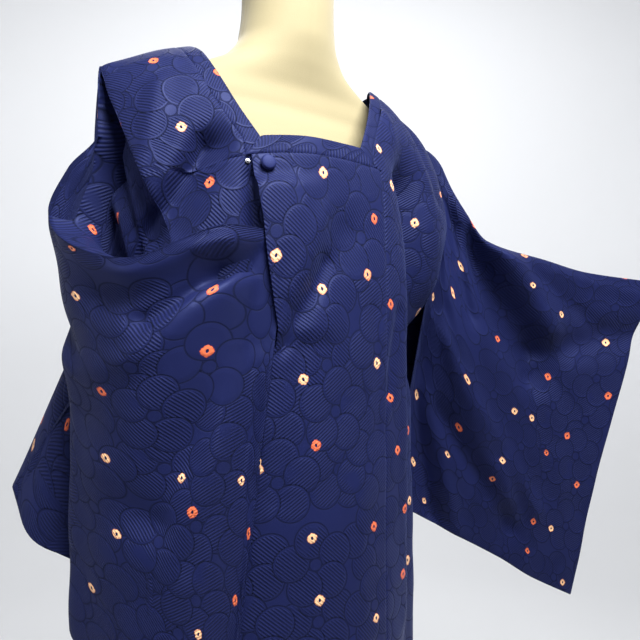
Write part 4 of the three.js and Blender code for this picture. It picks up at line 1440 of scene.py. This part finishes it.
class COAT_OT_front_bands(bpy.types.Operator):
    """Builds the broad left front band and the right one under it."""

    bl_idname = "coat.front_bands"
    bl_label = "Front bands"

    def execute(self, context):
        build_front_band_right(context.scene.coat)
        build_front_band_left(context.scene.coat)
        return {"FINISHED"}


class COAT_OT_neck_band(bpy.types.Operator):
    """Builds the narrow strips around the square neck."""

    bl_idname = "coat.neck_band"
    bl_label = "Neck band"

    def execute(self, context):
        build_neck_sides(context.scene.coat)
        build_neck_back(context.scene.coat)
        build_neck_levels(context.scene.coat)
        return {"FINISHED"}


class COAT_OT_sleeves(bpy.types.Operator):
    """Builds the two hanging sleeves."""

    bl_idname = "coat.sleeves"
    bl_label = "Sleeves"

    def execute(self, context):
        settings = context.scene.coat
        build_sleeve("sleeve_right", -1, right_sleeve, RIGHT_SLEEVE_CREASES, HIDDEN_SLEEVE_CREASES, settings)
        build_sleeve("sleeve_left", 1, left_sleeve, LEFT_SLEEVE_CREASES, LEFT_SLEEVE_CREASES, settings)
        return {"FINISHED"}


class COAT_OT_fastening(bpy.types.Operator):
    """Builds the covered button and the press stud."""

    bl_idname = "coat.fastening"
    bl_label = "Button and press stud"

    def execute(self, context):
        build_button(context.scene.coat)
        build_snap(context.scene.coat)
        return {"FINISHED"}


class COAT_OT_form(bpy.types.Operator):
    """Builds the dress form's padded body."""

    bl_idname = "coat.form"
    bl_label = "Dress form"

    def execute(self, context):
        build_form(context.scene.coat_form)
        return {"FINISHED"}


class COAT_OT_stand(bpy.types.Operator):
    """Builds the pole and the round base."""

    bl_idname = "coat.stand"
    bl_label = "Stand"

    def execute(self, context):
        build_pole(context.scene.coat_form)
        build_base(context.scene.coat_form)
        return {"FINISHED"}


class COAT_OT_stage(bpy.types.Operator):
    """Builds the studio: floor and wall, lamps and camera."""

    bl_idname = "coat.stage"
    bl_label = "Studio"

    def execute(self, context):
        build_stage(context.scene.coat_stage)
        return {"FINISHED"}


OPERATORS = (
    COAT_OT_stage,
    COAT_OT_form,
    COAT_OT_stand,
    COAT_OT_body,
    COAT_OT_front_bands,
    COAT_OT_neck_band,
    COAT_OT_sleeves,
    COAT_OT_fastening,
)


class COAT_PT_panel(bpy.types.Panel):
    """Sizes, colours and steps of the coat."""

    bl_idname = "COAT_PT_panel"
    bl_label = "Kimono coat"
    bl_space_type = "VIEW_3D"
    bl_region_type = "UI"
    bl_category = "Coat"

    def draw(self, context):
        for group in (context.scene.coat, context.scene.coat_form, context.scene.coat_stage):
            box = self.layout.box()
            for name in group.bl_rna.properties.keys():
                if name not in ("rna_type", "name"):
                    box.prop(group, name)
        for operator in OPERATORS:
            self.layout.operator(operator.bl_idname)


CLASSES = (CoatSettings, FormSettings, StageSettings, *OPERATORS, COAT_PT_panel)


def register():
    for item in CLASSES:
        bpy.utils.register_class(item)
    bpy.types.Scene.coat = PointerProperty(type=CoatSettings)
    bpy.types.Scene.coat_form = PointerProperty(type=FormSettings)
    bpy.types.Scene.coat_stage = PointerProperty(type=StageSettings)


def unregister():
    del bpy.types.Scene.coat_stage
    del bpy.types.Scene.coat_form
    del bpy.types.Scene.coat
    for item in reversed(CLASSES):
        bpy.utils.unregister_class(item)


def main():
    register()
    for operator in OPERATORS:
        group, name = operator.bl_idname.split(".")
        getattr(getattr(bpy.ops, group), name)()
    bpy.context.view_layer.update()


if __name__ == "__main__":
    main()
